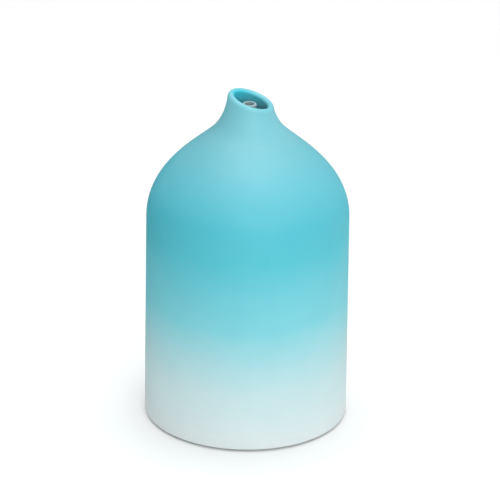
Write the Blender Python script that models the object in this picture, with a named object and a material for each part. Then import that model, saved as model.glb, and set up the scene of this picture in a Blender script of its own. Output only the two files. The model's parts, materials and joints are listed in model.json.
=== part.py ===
"""Ultrasonic aroma diffuser with a bottle-shaped ceramic cover.

Origin: centre of the rest plane under the feet.  +Z is up, the rear (inlet and buttons) faces +Y, and the
cover's mouth slopes down towards +X.  All lengths below are in millimetres; MM turns them into metres.
"""

import math

import bmesh
import bpy
from mathutils import Matrix, Vector

MM = 0.001
GAP = 0.3                      # clearance between pieces that touch

# Sides of a round piece, by its size
LARGE = 40
MEDIUM = 24
SMALL = 14
TINY = 8

# Ceramic cover
COVER_RADIUS = 50.0            # at the foot
SHOULDER_RADIUS = 49.6         # the wall leans in a little up to the shoulder
SHOULDER_Z = 104.4
NECK_BASE_RADIUS = 19.9
NECK_BASE_Z = 147.5
NECK_END_RADIUS = 10.4         # where the neck would end if it weren't cut by the slanted mouth
NECK_END_Z = 169.0
LIP_TUBE_RADIUS = 1.65
LIP_DROP = 1.2                 # how much lower the outer side of the rounded lip starts than its inner side
LIP_Z = 164.1                  # middle of the rounded lip, on the axis
MOUTH_SLOPE = math.tan(math.radians(18.0))
COVER_RIM_Z = 1.0
COVER_SEAT_Z = 2.0
COVER_WALL = 4.0
ARCH_HALF_WIDTH = 22.0
ARCH_TOP_Z = 22.0
ARCH_CORNER = 7.0

# Base
FOOT_RADIUS = 5.0
FOOT_CIRCLE = 38.5
FOOT_TOP_Z = 1.2
PLATE_BOTTOM_Z = 0.7
FLANGE_TOP_Z = 1.7
PLATE_TOP_Z = 3.2
FLANGE_RADIUS = 47.6
PLATE_RADIUS = 44.4
SHELL_BOTTOM_Z = 3.5
SHELL_TOP_Z = 83.4
SHELL_BOTTOM_RADIUS = 44.4
SHELL_TOP_RADIUS = 43.2
SHELL_WALL = 2.0
CASE_SCREW_SPOTS = ((29, -22), (-29, -22), (-29, 20), (29, 20))

# Rear panel and controls
PANEL_HALF_WIDTH = 19.7
PANEL_FRONT_Y = 37.7
PANEL_FACE_Y = 39.7
PANEL_TOP_Z = 20.0
CONTROL_Z = 12.0
BUTTON_X = 14.0
BUTTON_RADIUS = 4.0

# Tank
TANK_RIM_Z = 86.5
TANK_FLANGE_Z = 84.6
TANK_MOUTH_RADIUS = 38.5
TANK_FOOT_RADIUS = 36.5
TANK_FLOOR_Z = 44.0
TANK_WALL = 2.0
TRANSDUCER_XY = (0, -10)
DUCT_XY = (0, 22)
DUCT_INNER_RADIUS = 5.6
DUCT_WALL = 1.5
DUCT_TOP_Z = 80.0
PROBE_XY = (-22, 4)

# Splash cover and nozzle
LID_RADIUS = 42.6
LID_SEAT_Z = 86.8
LID_WALL = 1.6
COLLAR_BASE_Z = 124.0
COLLAR_TOP_Z = 132.0
COLLAR_RADIUS = 8.2
COLLAR_BORE = 6.6
CHIMNEY_TOP_Z = 149.7
CHIMNEY_RADIUS = 5.3
CHIMNEY_BORE = 3.9
NOZZLE_TOP_Z = 163.0
NOZZLE_RADIUS = 3.4
NOZZLE_BORE = 2.5

# Fan
FAN_XY = (0, -13)
FAN_SIZE = 40.0
FAN_BOTTOM_Z = 3.5
FAN_TOP_Z = 13.5
FAN_BORE = 18.9
BLADE_COUNT = 7

# Boards
BOARD_BOTTOM_Z = 5.0
BOARD_TOP_Z = 6.6
PART_Z = BOARD_TOP_Z + GAP     # underside of what stands on the main board
SWITCH_BOARD_Y = 30.0
LED_BOARD_Z = 30.0
LED_BOARD_THICKNESS = 1.2
LED_CIRCLE = 37.0
LED_ANGLES = (180, 270, 360)

# Turns that lay a shape made along +Z on the rear
FACING_REAR = (math.radians(90), 0, 0)       # (x, y, z) goes to (x, -z, y)
OUT_OF_REAR = (math.radians(-90), 0, 0)      # (x, y, z) goes to (x, z, -y)


# ---------------------------------------------------------------- materials

def material(name, color, roughness, metallic=0.0):
    found = bpy.data.materials.get(name)
    if found:
        return found
    made = bpy.data.materials.new(name)
    made.use_nodes = True
    shader = made.node_tree.nodes["Principled BSDF"]
    shader.inputs["Base Color"].default_value = (*color, 1.0)
    shader.inputs["Roughness"].default_value = roughness
    shader.inputs["Metallic"].default_value = metallic
    return made


CERAMIC = ("ceramic", (0.20, 0.60, 0.66), 0.6)
WHITE_PLASTIC = ("white_plastic", (0.86, 0.88, 0.88), 0.45)
CLEAR_PLASTIC = ("clear_plastic", (0.80, 0.87, 0.88), 0.3)
GREY_PLASTIC = ("grey_plastic", (0.45, 0.47, 0.48), 0.5)
BLACK_PLASTIC = ("black_plastic", (0.03, 0.03, 0.03), 0.5)
RUBBER = ("rubber", (0.10, 0.10, 0.10), 0.8)
SILICONE = ("silicone", (0.80, 0.80, 0.78), 0.6)
STEEL = ("steel", (0.62, 0.62, 0.63), 0.3, 1.0)
BRASS = ("brass", (0.78, 0.60, 0.30), 0.35, 1.0)
ALUMINIUM = ("aluminium", (0.75, 0.76, 0.77), 0.4, 1.0)
COPPER = ("copper", (0.72, 0.38, 0.20), 0.4, 1.0)
CIRCUIT_BOARD = ("circuit_board", (0.03, 0.22, 0.10), 0.4)
WIRE = ("wire", (0.55, 0.08, 0.06), 0.5)


# ---------------------------------------------------------------- geometry helpers

def empty(name, place=(0, 0, 0)):
    made = bpy.data.objects.new(name, None)
    made.location = Vector(place) * MM
    bpy.context.scene.collection.objects.link(made)
    return made


def add_object(name, mesh, look, place=(0, 0, 0), turn=(0, 0, 0), parent=None):
    """Link a mesh as one named object at a world place in millimetres."""
    made = bpy.data.objects.new(name, mesh)
    made.data.materials.clear()
    made.data.materials.append(material(*look))
    made.location = Vector(place) * MM
    made.rotation_euler = turn
    if parent:
        made.parent = parent
        made.location = (Vector(place) * MM) - parent.location
    bpy.context.scene.collection.objects.link(made)
    return made


def finish_mesh(name, builder):
    """Turn a bmesh in millimetres into a mesh in metres with outward faces and smooth round sides."""
    bmesh.ops.scale(builder, vec=(MM, MM, MM), verts=builder.verts)
    bmesh.ops.recalc_face_normals(builder, faces=builder.faces)
    mesh = bpy.data.meshes.new(name)
    builder.to_mesh(mesh)
    builder.free()
    mesh.shade_smooth()
    mesh.set_sharp_from_angle(angle=math.radians(35))
    return mesh


def turned(name, profile, segments):
    """Revolve a closed (radius, z) outline about Z.  Points on the axis become single poles."""
    return lofted(name, [profile] * segments)


def lofted(name, sections):
    """Join closed (radius, z) outlines, one for each equal step of angle about Z, into a solid."""
    segments = len(sections)
    builder = bmesh.new()
    rings = []
    for place in range(len(sections[0])):
        count = 1 if sections[0][place][0] < 1e-6 else segments
        ring = []
        for step in range(count):
            radius, height = sections[step][place]
            angle = 2 * math.pi * step / segments
            ring.append(builder.verts.new((radius * math.cos(angle), radius * math.sin(angle), height)))
        rings.append(ring)
    for ring, other in zip(rings, rings[1:] + rings[:1]):
        if len(ring) == 1 and len(other) == 1:
            continue
        for step in range(segments):
            after = (step + 1) % segments
            corners = (ring[step % len(ring)], ring[after % len(ring)], other[after % len(other)],
                       other[step % len(other)])
            builder.faces.new(list(dict.fromkeys(corners)))
    return finish_mesh(name, builder)


def prism(name, outline, bottom, top):
    """Extrude a flat (x, y) outline between two heights."""
    builder = bmesh.new()
    low = [builder.verts.new((x, y, bottom)) for x, y in outline]
    high = [builder.verts.new((x, y, top)) for x, y in outline]
    builder.faces.new(list(reversed(low)))
    builder.faces.new(high)
    for step in range(len(outline)):
        after = (step + 1) % len(outline)
        builder.faces.new((low[step], low[after], high[after], high[step]))
    return finish_mesh(name, builder)


def rounded_rectangle(half_x, half_y, corner, steps=3):
    points = []
    for turn, (sign_x, sign_y) in enumerate(((1, 1), (-1, 1), (-1, -1), (1, -1))):
        centre_x = sign_x * (half_x - corner)
        centre_y = sign_y * (half_y - corner)
        for step in range(steps + 1):
            angle = math.radians(90 * turn + 90 * step / steps)
            points.append((centre_x + corner * math.cos(angle), centre_y + corner * math.sin(angle)))
    return points


def circle(radius, segments, centre=(0, 0)):
    points = []
    for step in range(segments):
        angle = 2 * math.pi * step / segments
        points.append((centre[0] + radius * math.cos(angle), centre[1] + radius * math.sin(angle)))
    return points


def rectangle(x_low, y_low, x_high, y_high):
    return [(x_low, y_low), (x_high, y_low), (x_high, y_high), (x_low, y_high)]


def arc(centre, radius, start, end, steps):
    """Points (r, z) on a round corner, angles in degrees."""
    points = []
    for step in range(steps + 1):
        angle = math.radians(start + (end - start) * step / steps)
        points.append((centre[0] + radius * math.cos(angle), centre[1] + radius * math.sin(angle)))
    return points


def on_curve(corners, t):
    """Point (r, z) on a cubic curve with four corners."""
    weights = ((1 - t) ** 3, 3 * t * (1 - t) ** 2, 3 * t * t * (1 - t), t ** 3)
    return tuple(sum(weight * corner[axis] for weight, corner in zip(weights, corners)) for axis in (0, 1))


def bezier(first, handle_a, handle_b, last, steps, skip_first=True):
    """Points (r, z) along one cubic curve."""
    start = 1 if skip_first else 0
    return [on_curve((first, handle_a, handle_b, last), step / steps) for step in range(start, steps + 1)]


def helper(name, mesh, place=(0, 0, 0), turn=(0, 0, 0)):
    """A hidden object that only shapes others through a Boolean."""
    made = add_object(name, mesh, GREY_PLASTIC, place, turn)
    made.hide_render = True
    made.display_type = "WIRE"
    return made


def combine(target, tool, operation):
    change = target.modifiers.new(tool.name, "BOOLEAN")
    change.operation = operation
    change.object = tool
    change.solver = "EXACT"


def cut(target, mesh, place=(0, 0, 0), turn=(0, 0, 0)):
    combine(target, helper(mesh.name, mesh, place, turn), "DIFFERENCE")


def join(target, mesh, place=(0, 0, 0), turn=(0, 0, 0)):
    combine(target, helper(mesh.name, mesh, place, turn), "UNION")


def many(name, outlines, bottom, top):
    """One mesh of separate prisms, used as a single cutter or a single union tool."""
    builder = bmesh.new()
    for outline in outlines:
        low = [builder.verts.new((x, y, bottom)) for x, y in outline]
        high = [builder.verts.new((x, y, top)) for x, y in outline]
        builder.faces.new(list(reversed(low)))
        builder.faces.new(high)
        for step in range(len(outline)):
            after = (step + 1) % len(outline)
            builder.faces.new((low[step], low[after], high[after], high[step]))
    return finish_mesh(name, builder)


def screw(name, spot, head_z, head_up, head_radius, head_height, shank_radius, length, parent):
    """A pan-head screw.  head_z is the seat under the head; the shank runs away from the head."""
    sign = 1 if head_up else -1
    profile = [
        (0, sign * head_height),
        (head_radius * 0.75, sign * head_height),
        (head_radius, sign * head_height * 0.45),
        (head_radius, 0),
        (shank_radius, 0),
        (shank_radius, -sign * (length - shank_radius)),
        (0, -sign * length),
    ]
    mesh = turned(name, profile, TINY)
    return add_object(name, mesh, STEEL, (spot[0], spot[1], head_z), parent=parent)


def ring_mesh(name, inner, outer, bottom, top, segments):
    return turned(name, [(inner, bottom), (outer, bottom), (outer, top), (inner, top)], segments)


def cylinder_mesh(name, radius, bottom, top, segments):
    return turned(name, [(0, bottom), (radius, bottom), (radius, top), (0, top)], segments)


def lead(name, points, radius, parent):
    """An insulated wire along one smooth curve through its route points."""
    curve = bpy.data.curves.new(name, "CURVE")
    curve.dimensions = "3D"
    curve.bevel_depth = radius * MM
    curve.bevel_resolution = 1
    curve.use_fill_caps = True
    route = smooth_route(points, 5)
    spline = curve.splines.new("POLY")
    spline.points.add(len(route) - 1)
    for point, place in zip(spline.points, route):
        point.co = (*(Vector(place) * MM), 1.0)
    made = bpy.data.objects.new(name, curve)
    curve.materials.append(material(*WIRE))
    made.parent = parent
    bpy.context.scene.collection.objects.link(made)
    return made


def smooth_route(points, steps):
    """Catmull-Rom curve through the given points."""
    knots = [Vector(point) for point in points]
    knots = [knots[0] * 2 - knots[1]] + knots + [knots[-1] * 2 - knots[-2]]
    route = []
    for index in range(1, len(knots) - 2):
        before, start, end, after = knots[index - 1:index + 3]
        for step in range(steps):
            t = step / steps
            route.append(0.5 * (2 * start + (end - before) * t
                                + (2 * before - 5 * start + 4 * end - after) * t ** 2
                                + (3 * start - before - 3 * end + after) * t ** 3))
    route.append(knots[-2])
    return route


# ---------------------------------------------------------------- the cover

NECK_CURVE = ((NECK_BASE_RADIUS, NECK_BASE_Z), (16.3, 150.5), (11.0, 157.2), (NECK_END_RADIUS, NECK_END_Z))


def neck_share_at(height):
    """How far along the neck's curve its height reaches the given one."""
    low, high = 0.0, 1.0
    for _ in range(30):
        middle = (low + high) / 2
        if on_curve(NECK_CURVE, middle)[1] < height:
            low = middle
        else:
            high = middle
    return low


def cover_section(angle):
    """Outline of the cover's wall at one angle: the neck ends where the slanted mouth cuts it."""
    lip_centre = NECK_END_RADIUS - LIP_TUBE_RADIUS
    for _ in range(6):
        lip_z = LIP_Z - MOUTH_SLOPE * lip_centre * math.cos(angle)
        share = neck_share_at(lip_z - LIP_DROP)
        lip_centre = on_curve(NECK_CURVE, share)[0] - LIP_TUBE_RADIUS
    inner_radius = SHOULDER_RADIUS - COVER_WALL
    bore = lip_centre - LIP_TUBE_RADIUS
    seat = arc((COVER_RADIUS - COVER_WALL + 1, COVER_SEAT_Z + 1), 1.0, 180, 270, 2)
    skirt_inside = FLANGE_RADIUS + 0.3
    skirt = [(skirt_inside, COVER_SEAT_Z)] + arc((skirt_inside + 0.5, COVER_RIM_Z + 0.5), 0.5, 180, 270, 2)
    skirt += arc((COVER_RADIUS - 0.8, COVER_RIM_Z + 0.8), 0.8, 270, 360, 3)
    outer_wall = [(COVER_RADIUS, ARCH_TOP_Z + 3), (SHOULDER_RADIUS + 0.15, 70), (SHOULDER_RADIUS, SHOULDER_Z)]
    shoulder = bezier((SHOULDER_RADIUS, SHOULDER_Z), (SHOULDER_RADIUS, 126.1), (29.3, 138.7),
                      (NECK_BASE_RADIUS, NECK_BASE_Z), 8)
    neck = [on_curve(NECK_CURVE, share * step / 4) for step in range(1, 5)]
    lip_top = lip_z + LIP_TUBE_RADIUS
    outer_stretch = 1 + LIP_DROP / LIP_TUBE_RADIUS
    lip = [(r, z if r < lip_centre else lip_top - (lip_top - z) * outer_stretch)
           for r, z in arc((lip_centre, lip_z), LIP_TUBE_RADIUS, 0, 180, 4)[1:]]
    inner_neck = bezier((bore, lip_z), (bore + 0.6, lip_z - 8), (11.3, 150.2), (15.2, 144.8), 4)
    inner_shoulder = bezier((15.2, 144.8), (26.4, 136.2), (inner_radius, 124.0),
                            (inner_radius, SHOULDER_Z), 5)
    return seat + skirt + outer_wall + shoulder + neck + lip + inner_neck + inner_shoulder


def make_ceramic_cover(parent):
    """Bottle-shaped cover: a foot that steps over the plate's edge, round shoulder, neck and slanted lip."""
    sections = [cover_section(2 * math.pi * step / LARGE) for step in range(LARGE)]
    cover = add_object("ceramic_cover", lofted("ceramic_cover", sections), CERAMIC, parent=parent)
    arch = rounded_rectangle(ARCH_HALF_WIDTH, ARCH_TOP_Z, ARCH_CORNER, 4)
    cut(cover, prism("rear_arch_cutter", arch, -60, -30), turn=FACING_REAR)
    return cover


def make_splash_cover(parent):
    """Translucent lid over the tank, with a skirt inside the tank mouth and a collar for the chimney."""
    skirt_outer = TANK_MOUTH_RADIUS - 0.9
    skirt_inner = skirt_outer - LID_WALL
    dome_outer = bezier((LID_RADIUS, LID_SEAT_Z + 2), (LID_RADIUS, 110), (20, 117),
                        (COLLAR_RADIUS, COLLAR_BASE_Z), 6)
    dome_inner = bezier((COLLAR_BORE, COLLAR_BASE_Z - 2), (18, 114.6), (LID_RADIUS - LID_WALL, 108.4),
                        (LID_RADIUS - LID_WALL, LID_SEAT_Z + 4), 5, skip_first=False)
    profile = [(skirt_inner, 80), (skirt_outer, 80), (skirt_outer, LID_SEAT_Z), (LID_RADIUS, LID_SEAT_Z),
               (LID_RADIUS, LID_SEAT_Z + 2)]
    profile += dome_outer
    profile += [(COLLAR_RADIUS, COLLAR_TOP_Z), (COLLAR_BORE, COLLAR_TOP_Z)]
    profile += dome_inner
    profile += [(skirt_inner, LID_SEAT_Z + 2)]
    return add_object("splash_cover", turned("splash_cover", profile, LARGE - 8), CLEAR_PLASTIC, parent=parent)


def make_mist_chimney(parent):
    """Tall tube that hangs in the lid's collar by a flange and carries the mist up the neck."""
    plug = COLLAR_BORE - GAP
    profile = [(CHIMNEY_BORE, 121), (plug, 121), (plug, COLLAR_TOP_Z + GAP),
               (COLLAR_RADIUS, COLLAR_TOP_Z + GAP), (COLLAR_RADIUS, COLLAR_TOP_Z + 1.5),
               (CHIMNEY_RADIUS + 0.4, COLLAR_TOP_Z + 3), (CHIMNEY_RADIUS, CHIMNEY_TOP_Z),
               (CHIMNEY_BORE, CHIMNEY_TOP_Z)]
    return add_object("mist_chimney", turned("mist_chimney", profile, MEDIUM), CLEAR_PLASTIC, parent=parent)


def make_mist_nozzle(parent):
    """Soft nozzle tip: a sleeve that slips over the chimney, and a short straight tube."""
    sleeve_bore = CHIMNEY_RADIUS + GAP
    profile = [
        (sleeve_bore, 143.5), (sleeve_bore + 1.3, 143.5), (sleeve_bore + 1.3, 150.5),
        (NOZZLE_RADIUS + 0.4, 154.0), (NOZZLE_RADIUS, NOZZLE_TOP_Z - 0.4), (NOZZLE_RADIUS - 0.4, NOZZLE_TOP_Z),
        (NOZZLE_BORE, NOZZLE_TOP_Z), (NOZZLE_BORE, 153.0), (CHIMNEY_BORE, CHIMNEY_TOP_Z + GAP),
        (sleeve_bore, CHIMNEY_TOP_Z + GAP),
    ]
    return add_object("mist_nozzle", turned("mist_nozzle", profile, SMALL + 6), SILICONE, parent=parent)


# ---------------------------------------------------------------- the base

def foot_spots():
    for step in range(4):
        angle = math.radians(90 * step)
        yield FOOT_CIRCLE * math.cos(angle), FOOT_CIRCLE * math.sin(angle)


def make_feet(parent):
    profile = [(0, 0), (FOOT_RADIUS - 0.6, 0), (FOOT_RADIUS, 0.5), (FOOT_RADIUS, FOOT_TOP_Z), (0, FOOT_TOP_Z)]
    mesh = turned("foot_pad", profile, SMALL)
    for number, (x, y) in enumerate(foot_spots(), start=1):
        add_object(f"foot_pad_{number}", mesh, RUBBER, (x, y, 0), parent=parent)


def grille_slots():
    """Straight slots that fill a circle under the fan."""
    half_width = 1.1
    pitch = 4.4
    for step in range(-3, 4):
        x = FAN_XY[0] + step * pitch
        half_length = math.sqrt(16.0 ** 2 - (step * pitch) ** 2)
        yield rectangle(x - half_width, FAN_XY[1] - half_length, x + half_width, FAN_XY[1] + half_length)


def make_bottom_cover(parent):
    """Plate with a thin outer flange the ceramic cover stands on, a foot recess per foot and an air grille."""
    profile = [(0, PLATE_BOTTOM_Z), (FLANGE_RADIUS - 0.4, PLATE_BOTTOM_Z), (FLANGE_RADIUS, PLATE_BOTTOM_Z + 0.4),
               (FLANGE_RADIUS, FLANGE_TOP_Z), (PLATE_RADIUS, FLANGE_TOP_Z), (PLATE_RADIUS, PLATE_TOP_Z),
               (0, PLATE_TOP_Z)]
    plate = add_object("bottom_cover", turned("bottom_cover", profile, LARGE), WHITE_PLASTIC, parent=parent)
    recesses = [circle(FOOT_RADIUS + GAP, SMALL, spot) for spot in foot_spots()]
    cut(plate, many("foot_recess_cutter", recesses, 0, FOOT_TOP_Z + GAP))
    cut(plate, many("grille_cutter", list(grille_slots()), -1, PLATE_TOP_Z + 1))
    holes = [circle(1.6, TINY, spot) for spot in CASE_SCREW_SPOTS]
    cut(plate, many("case_hole_cutter", holes, -1, PLATE_TOP_Z + 1))
    counterbores = [circle(3.2, TINY, spot) for spot in CASE_SCREW_SPOTS]
    cut(plate, many("counterbore_cutter", counterbores, 0, 2.3))
    fan_holes = [circle(1.5, TINY, spot) for spot in fan_screw_spots()]
    cut(plate, many("fan_pilot_cutter", fan_holes, 1.3, PLATE_TOP_Z + 1))
    return plate


def make_base_shell(parent):
    """Open tube with four screw bosses on its wall and a window for the rear panel."""
    inner_bottom = SHELL_BOTTOM_RADIUS - SHELL_WALL
    inner_top = SHELL_TOP_RADIUS - SHELL_WALL
    profile = [(inner_bottom, SHELL_BOTTOM_Z), (SHELL_BOTTOM_RADIUS, SHELL_BOTTOM_Z),
               (SHELL_TOP_RADIUS, SHELL_TOP_Z), (inner_top, SHELL_TOP_Z)]
    shell = add_object("base_shell", turned("base_shell", profile, LARGE), WHITE_PLASTIC, parent=parent)
    join(shell, many("boss_tool", [boss_outline(spot) for spot in CASE_SCREW_SPOTS], SHELL_BOTTOM_Z, 16))
    pilots = [circle(1.6, TINY, spot) for spot in CASE_SCREW_SPOTS]
    cut(shell, many("boss_pilot_cutter", pilots, 2, 13))
    window = rectangle(-PANEL_HALF_WIDTH - GAP, 34, PANEL_HALF_WIDTH + GAP, 50)
    cut(shell, prism("panel_window_cutter", window, 0, PANEL_TOP_Z + GAP))
    return shell


def boss_outline(spot):
    """A round boss joined to the wall by a rib, seen from above."""
    radius = 3.4
    outward = math.atan2(spot[1], spot[0])
    reach = SHELL_BOTTOM_RADIUS - 1.0 - math.hypot(*spot)
    start = math.degrees(outward) + 90
    points = arc(spot, radius, start, start + 180, 4)
    for side in (-1, 1):
        angle = outward + math.radians(90 * side)
        points.append((spot[0] + radius * math.cos(angle) + reach * math.cos(outward),
                       spot[1] + radius * math.sin(angle) + reach * math.sin(outward)))
    return points


def make_rear_panel(parent):
    """Flat panel in the shell's window, with round holes for the inlet and the two buttons."""
    outline = rectangle(-PANEL_HALF_WIDTH, PANEL_FRONT_Y, PANEL_HALF_WIDTH, PANEL_FACE_Y)
    panel = add_object("rear_panel", prism("rear_panel", outline, SHELL_BOTTOM_Z, PANEL_TOP_Z), GREY_PLASTIC,
                       parent=parent)
    holes = [circle(BUTTON_RADIUS + 0.4, SMALL, (x, CONTROL_Z)) for x in (-BUTTON_X, 0, BUTTON_X)]
    cut(panel, many("panel_hole_cutter", holes, -50, -30), turn=FACING_REAR)
    return panel


def make_button(name, x, parent):
    """Round key cap with a retaining flange and a stem that reaches the switch."""
    profile = [(0, -3.7), (1.5, -3.7), (1.5, -3.2), (5.2, -3.2), (5.2, -2.4), (BUTTON_RADIUS, -2.4),
               (BUTTON_RADIUS, 1.1), (BUTTON_RADIUS - 0.4, 1.5), (0, 1.5)]
    pivot = empty(f"{name}_slide", (x, PANEL_FACE_Y, CONTROL_Z))
    pivot.parent = parent
    mesh = turned(name, profile, SMALL)
    return add_object(name, mesh, WHITE_PLASTIC, (x, PANEL_FACE_Y, CONTROL_Z), OUT_OF_REAR, pivot)


# ---------------------------------------------------------------- the tank

def make_tank_basin(parent):
    """Water tank with a flat rim flange, a transducer seat, a probe hole and an air duct through its floor."""
    floor_underside = TANK_FLOOR_Z - TANK_WALL
    fillet = 4.0
    outside = [(0, floor_underside), (TANK_FOOT_RADIUS, floor_underside),
               (TANK_FOOT_RADIUS + TANK_WALL, floor_underside + 3), (TANK_MOUTH_RADIUS + TANK_WALL, 80),
               (TANK_MOUTH_RADIUS + TANK_WALL, TANK_FLANGE_Z), (43.2, TANK_FLANGE_Z), (43.2, TANK_RIM_Z),
               (TANK_MOUTH_RADIUS, TANK_RIM_Z)]
    corner = arc((TANK_FOOT_RADIUS - fillet, TANK_FLOOR_Z + fillet), fillet, 0, -90, 4)
    basin = add_object("tank_basin", turned("tank_basin", outside + corner + [(0, TANK_FLOOR_Z)], LARGE),
                       CLEAR_PLASTIC, parent=parent)
    duct_outer = DUCT_INNER_RADIUS + DUCT_WALL
    join(basin, cylinder_mesh("duct_tool", duct_outer, 38, DUCT_TOP_Z, MEDIUM), (*DUCT_XY, 0))
    seat = [circle(13.5, MEDIUM, TRANSDUCER_XY)]
    join(basin, many("seat_tool", seat, 38.7, TANK_FLOOR_Z - 1))
    bosses = [circle(3.0, TINY, spot) for spot in clamp_screw_spots()]
    join(basin, many("clamp_boss_tool", bosses, 39.2, TANK_FLOOR_Z - 1.2))
    through = [circle(DUCT_INNER_RADIUS, SMALL, DUCT_XY), circle(8.0, SMALL, TRANSDUCER_XY),
               circle(3.6, TINY, PROBE_XY)]
    cut(basin, many("through_cutter", through, 30, 90))
    pockets = [circle(10.7, MEDIUM, TRANSDUCER_XY)] + [circle(1.4, TINY, spot) for spot in clamp_screw_spots()]
    cut(basin, many("pocket_cutter", pockets, 35, 42.5))
    return basin


def clamp_screw_spots():
    for step in range(3):
        angle = math.radians(30 + 120 * step)
        yield TRANSDUCER_XY[0] + 16.2 * math.cos(angle), TRANSDUCER_XY[1] + 16.2 * math.sin(angle)


def make_transducer(parent):
    """Ultrasonic disc under the tank floor, its seal above it and the clamp that presses it up."""
    place = (*TRANSDUCER_XY, 0)
    seal = ring_mesh("transducer_seal", 8.2, 10.3, 41.4, 42.2, MEDIUM)
    add_object("transducer_seal", seal, SILICONE, place, parent=parent)
    add_object("transducer_disc", cylinder_mesh("transducer_disc", 10.2, 40.2, 41.1, MEDIUM), BRASS, place,
               parent=parent)
    clamp_profile = [(6.0, 36.6), (13.4, 36.6), (13.4, 38.4), (9.8, 38.4), (9.8, 39.9), (8.2, 39.9), (8.2, 38.4),
                     (6.0, 38.4)]
    clamp = add_object("transducer_clamp", turned("transducer_clamp", clamp_profile, MEDIUM), WHITE_PLASTIC, place,
                       parent=parent)
    ears = [circle(3.4, TINY, spot) for spot in clamp_screw_spots()]
    join(clamp, many("clamp_ear_tool", ears, 36.6, 38.4))
    holes = [circle(1.5, TINY, spot) for spot in clamp_screw_spots()]
    cut(clamp, many("clamp_hole_cutter", holes, 30, 40))
    for number, spot in enumerate(clamp_screw_spots(), start=1):
        screw(f"clamp_screw_{number}", spot, 36.3, False, 2.5, 1.3, 1.1, 5.4, parent)


def make_level_probe(parent):
    pin = [(0, 37), (1.4, 37), (1.4, 53), (0.8, 54), (0, 54)]
    add_object("level_probe", turned("level_probe", pin, TINY), STEEL, (*PROBE_XY, 0), parent=parent)
    seal = [(1.7, 41), (4.6, 41), (4.6, 41.7), (3.3, 41.7), (3.3, 44.3), (4.6, 44.3), (4.6, 45), (1.7, 45)]
    add_object("level_probe_seal", turned("level_probe_seal", seal, SMALL), SILICONE, (*PROBE_XY, 0), parent=parent)


def make_tank_seal(parent):
    mesh = ring_mesh("tank_seal", 41.4, 42.9, SHELL_TOP_Z + GAP, TANK_FLANGE_Z - GAP, LARGE)
    add_object("tank_seal", mesh, SILICONE, parent=parent)


def make_air_funnel(parent):
    """Short flared skirt around the duct's lower end that keeps drips off the board."""
    duct_outer = DUCT_INNER_RADIUS + DUCT_WALL
    profile = [(duct_outer + GAP, 41.2), (duct_outer + GAP, 38), (11.5, 32), (12.8, 32), (duct_outer + 1.8, 39),
               (duct_outer + 1.8, 41.2)]
    add_object("air_funnel", turned("air_funnel", profile, MEDIUM), WHITE_PLASTIC, (*DUCT_XY, 0), parent=parent)


# ---------------------------------------------------------------- the fan

def fan_screw_spots():
    reach = FAN_SIZE / 2 - 3.6
    return ((FAN_XY[0] + reach, FAN_XY[1] + reach), (FAN_XY[0] - reach, FAN_XY[1] - reach))


def make_fan_frame(parent):
    """Square fan housing with a round bore, and a motor seat held by three arms."""
    outline = rounded_rectangle(FAN_SIZE / 2, FAN_SIZE / 2, 3.0)
    place = (*FAN_XY, 0)
    frame = add_object("fan_frame", prism("fan_frame", outline, FAN_BOTTOM_Z, FAN_TOP_Z), BLACK_PLASTIC, place,
                       parent=parent)
    cut(frame, cylinder_mesh("fan_bore_cutter", FAN_BORE, 0, 20, LARGE), place)
    arms = []
    for step in range(3):
        turn = Matrix.Rotation(math.radians(90 + 120 * step), 2)
        arms.append([tuple(turn @ Vector(corner)) for corner in rectangle(5.0, -1.3, FAN_BORE + 0.4, 1.3)])
    seat = cylinder_mesh("motor_seat_tool", 9.0, FAN_BOTTOM_Z, FAN_BOTTOM_Z + 1.2, MEDIUM)
    join(frame, seat, place)
    join(frame, many("fan_arm_tool", arms, FAN_BOTTOM_Z, FAN_BOTTOM_Z + 1.2), place)
    holes = [circle(1.7, TINY, spot) for spot in fan_screw_spots()]
    cut(frame, many("fan_hole_cutter", holes, 0, 20))
    return frame


def make_fan_motor(parent):
    place = (*FAN_XY, 0)
    bearing = ring_mesh("fan_bearing", 1.3, 2.2, FAN_BOTTOM_Z + 1.5, 11.2, SMALL)
    add_object("fan_bearing", bearing, BRASS, place, parent=parent)
    outline = []
    for step in range(32):
        angle = 2 * math.pi * step / 32
        reach = 6.1 if step % 8 in (0, 1, 2, 7, 6) else 3.6
        outline.append((reach * math.cos(angle), reach * math.sin(angle)))
    stator = add_object("fan_stator", prism("fan_stator", outline, 5.6, 10.6), COPPER, place, parent=parent)
    cut(stator, cylinder_mesh("stator_bore_cutter", 2.5, 0, 20, SMALL), place)
    for number, spot in enumerate(fan_screw_spots(), start=1):
        screw(f"fan_screw_{number}", spot, FAN_TOP_Z + GAP, True, 2.6, 1.4, 1.2, 12.0, parent)


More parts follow.
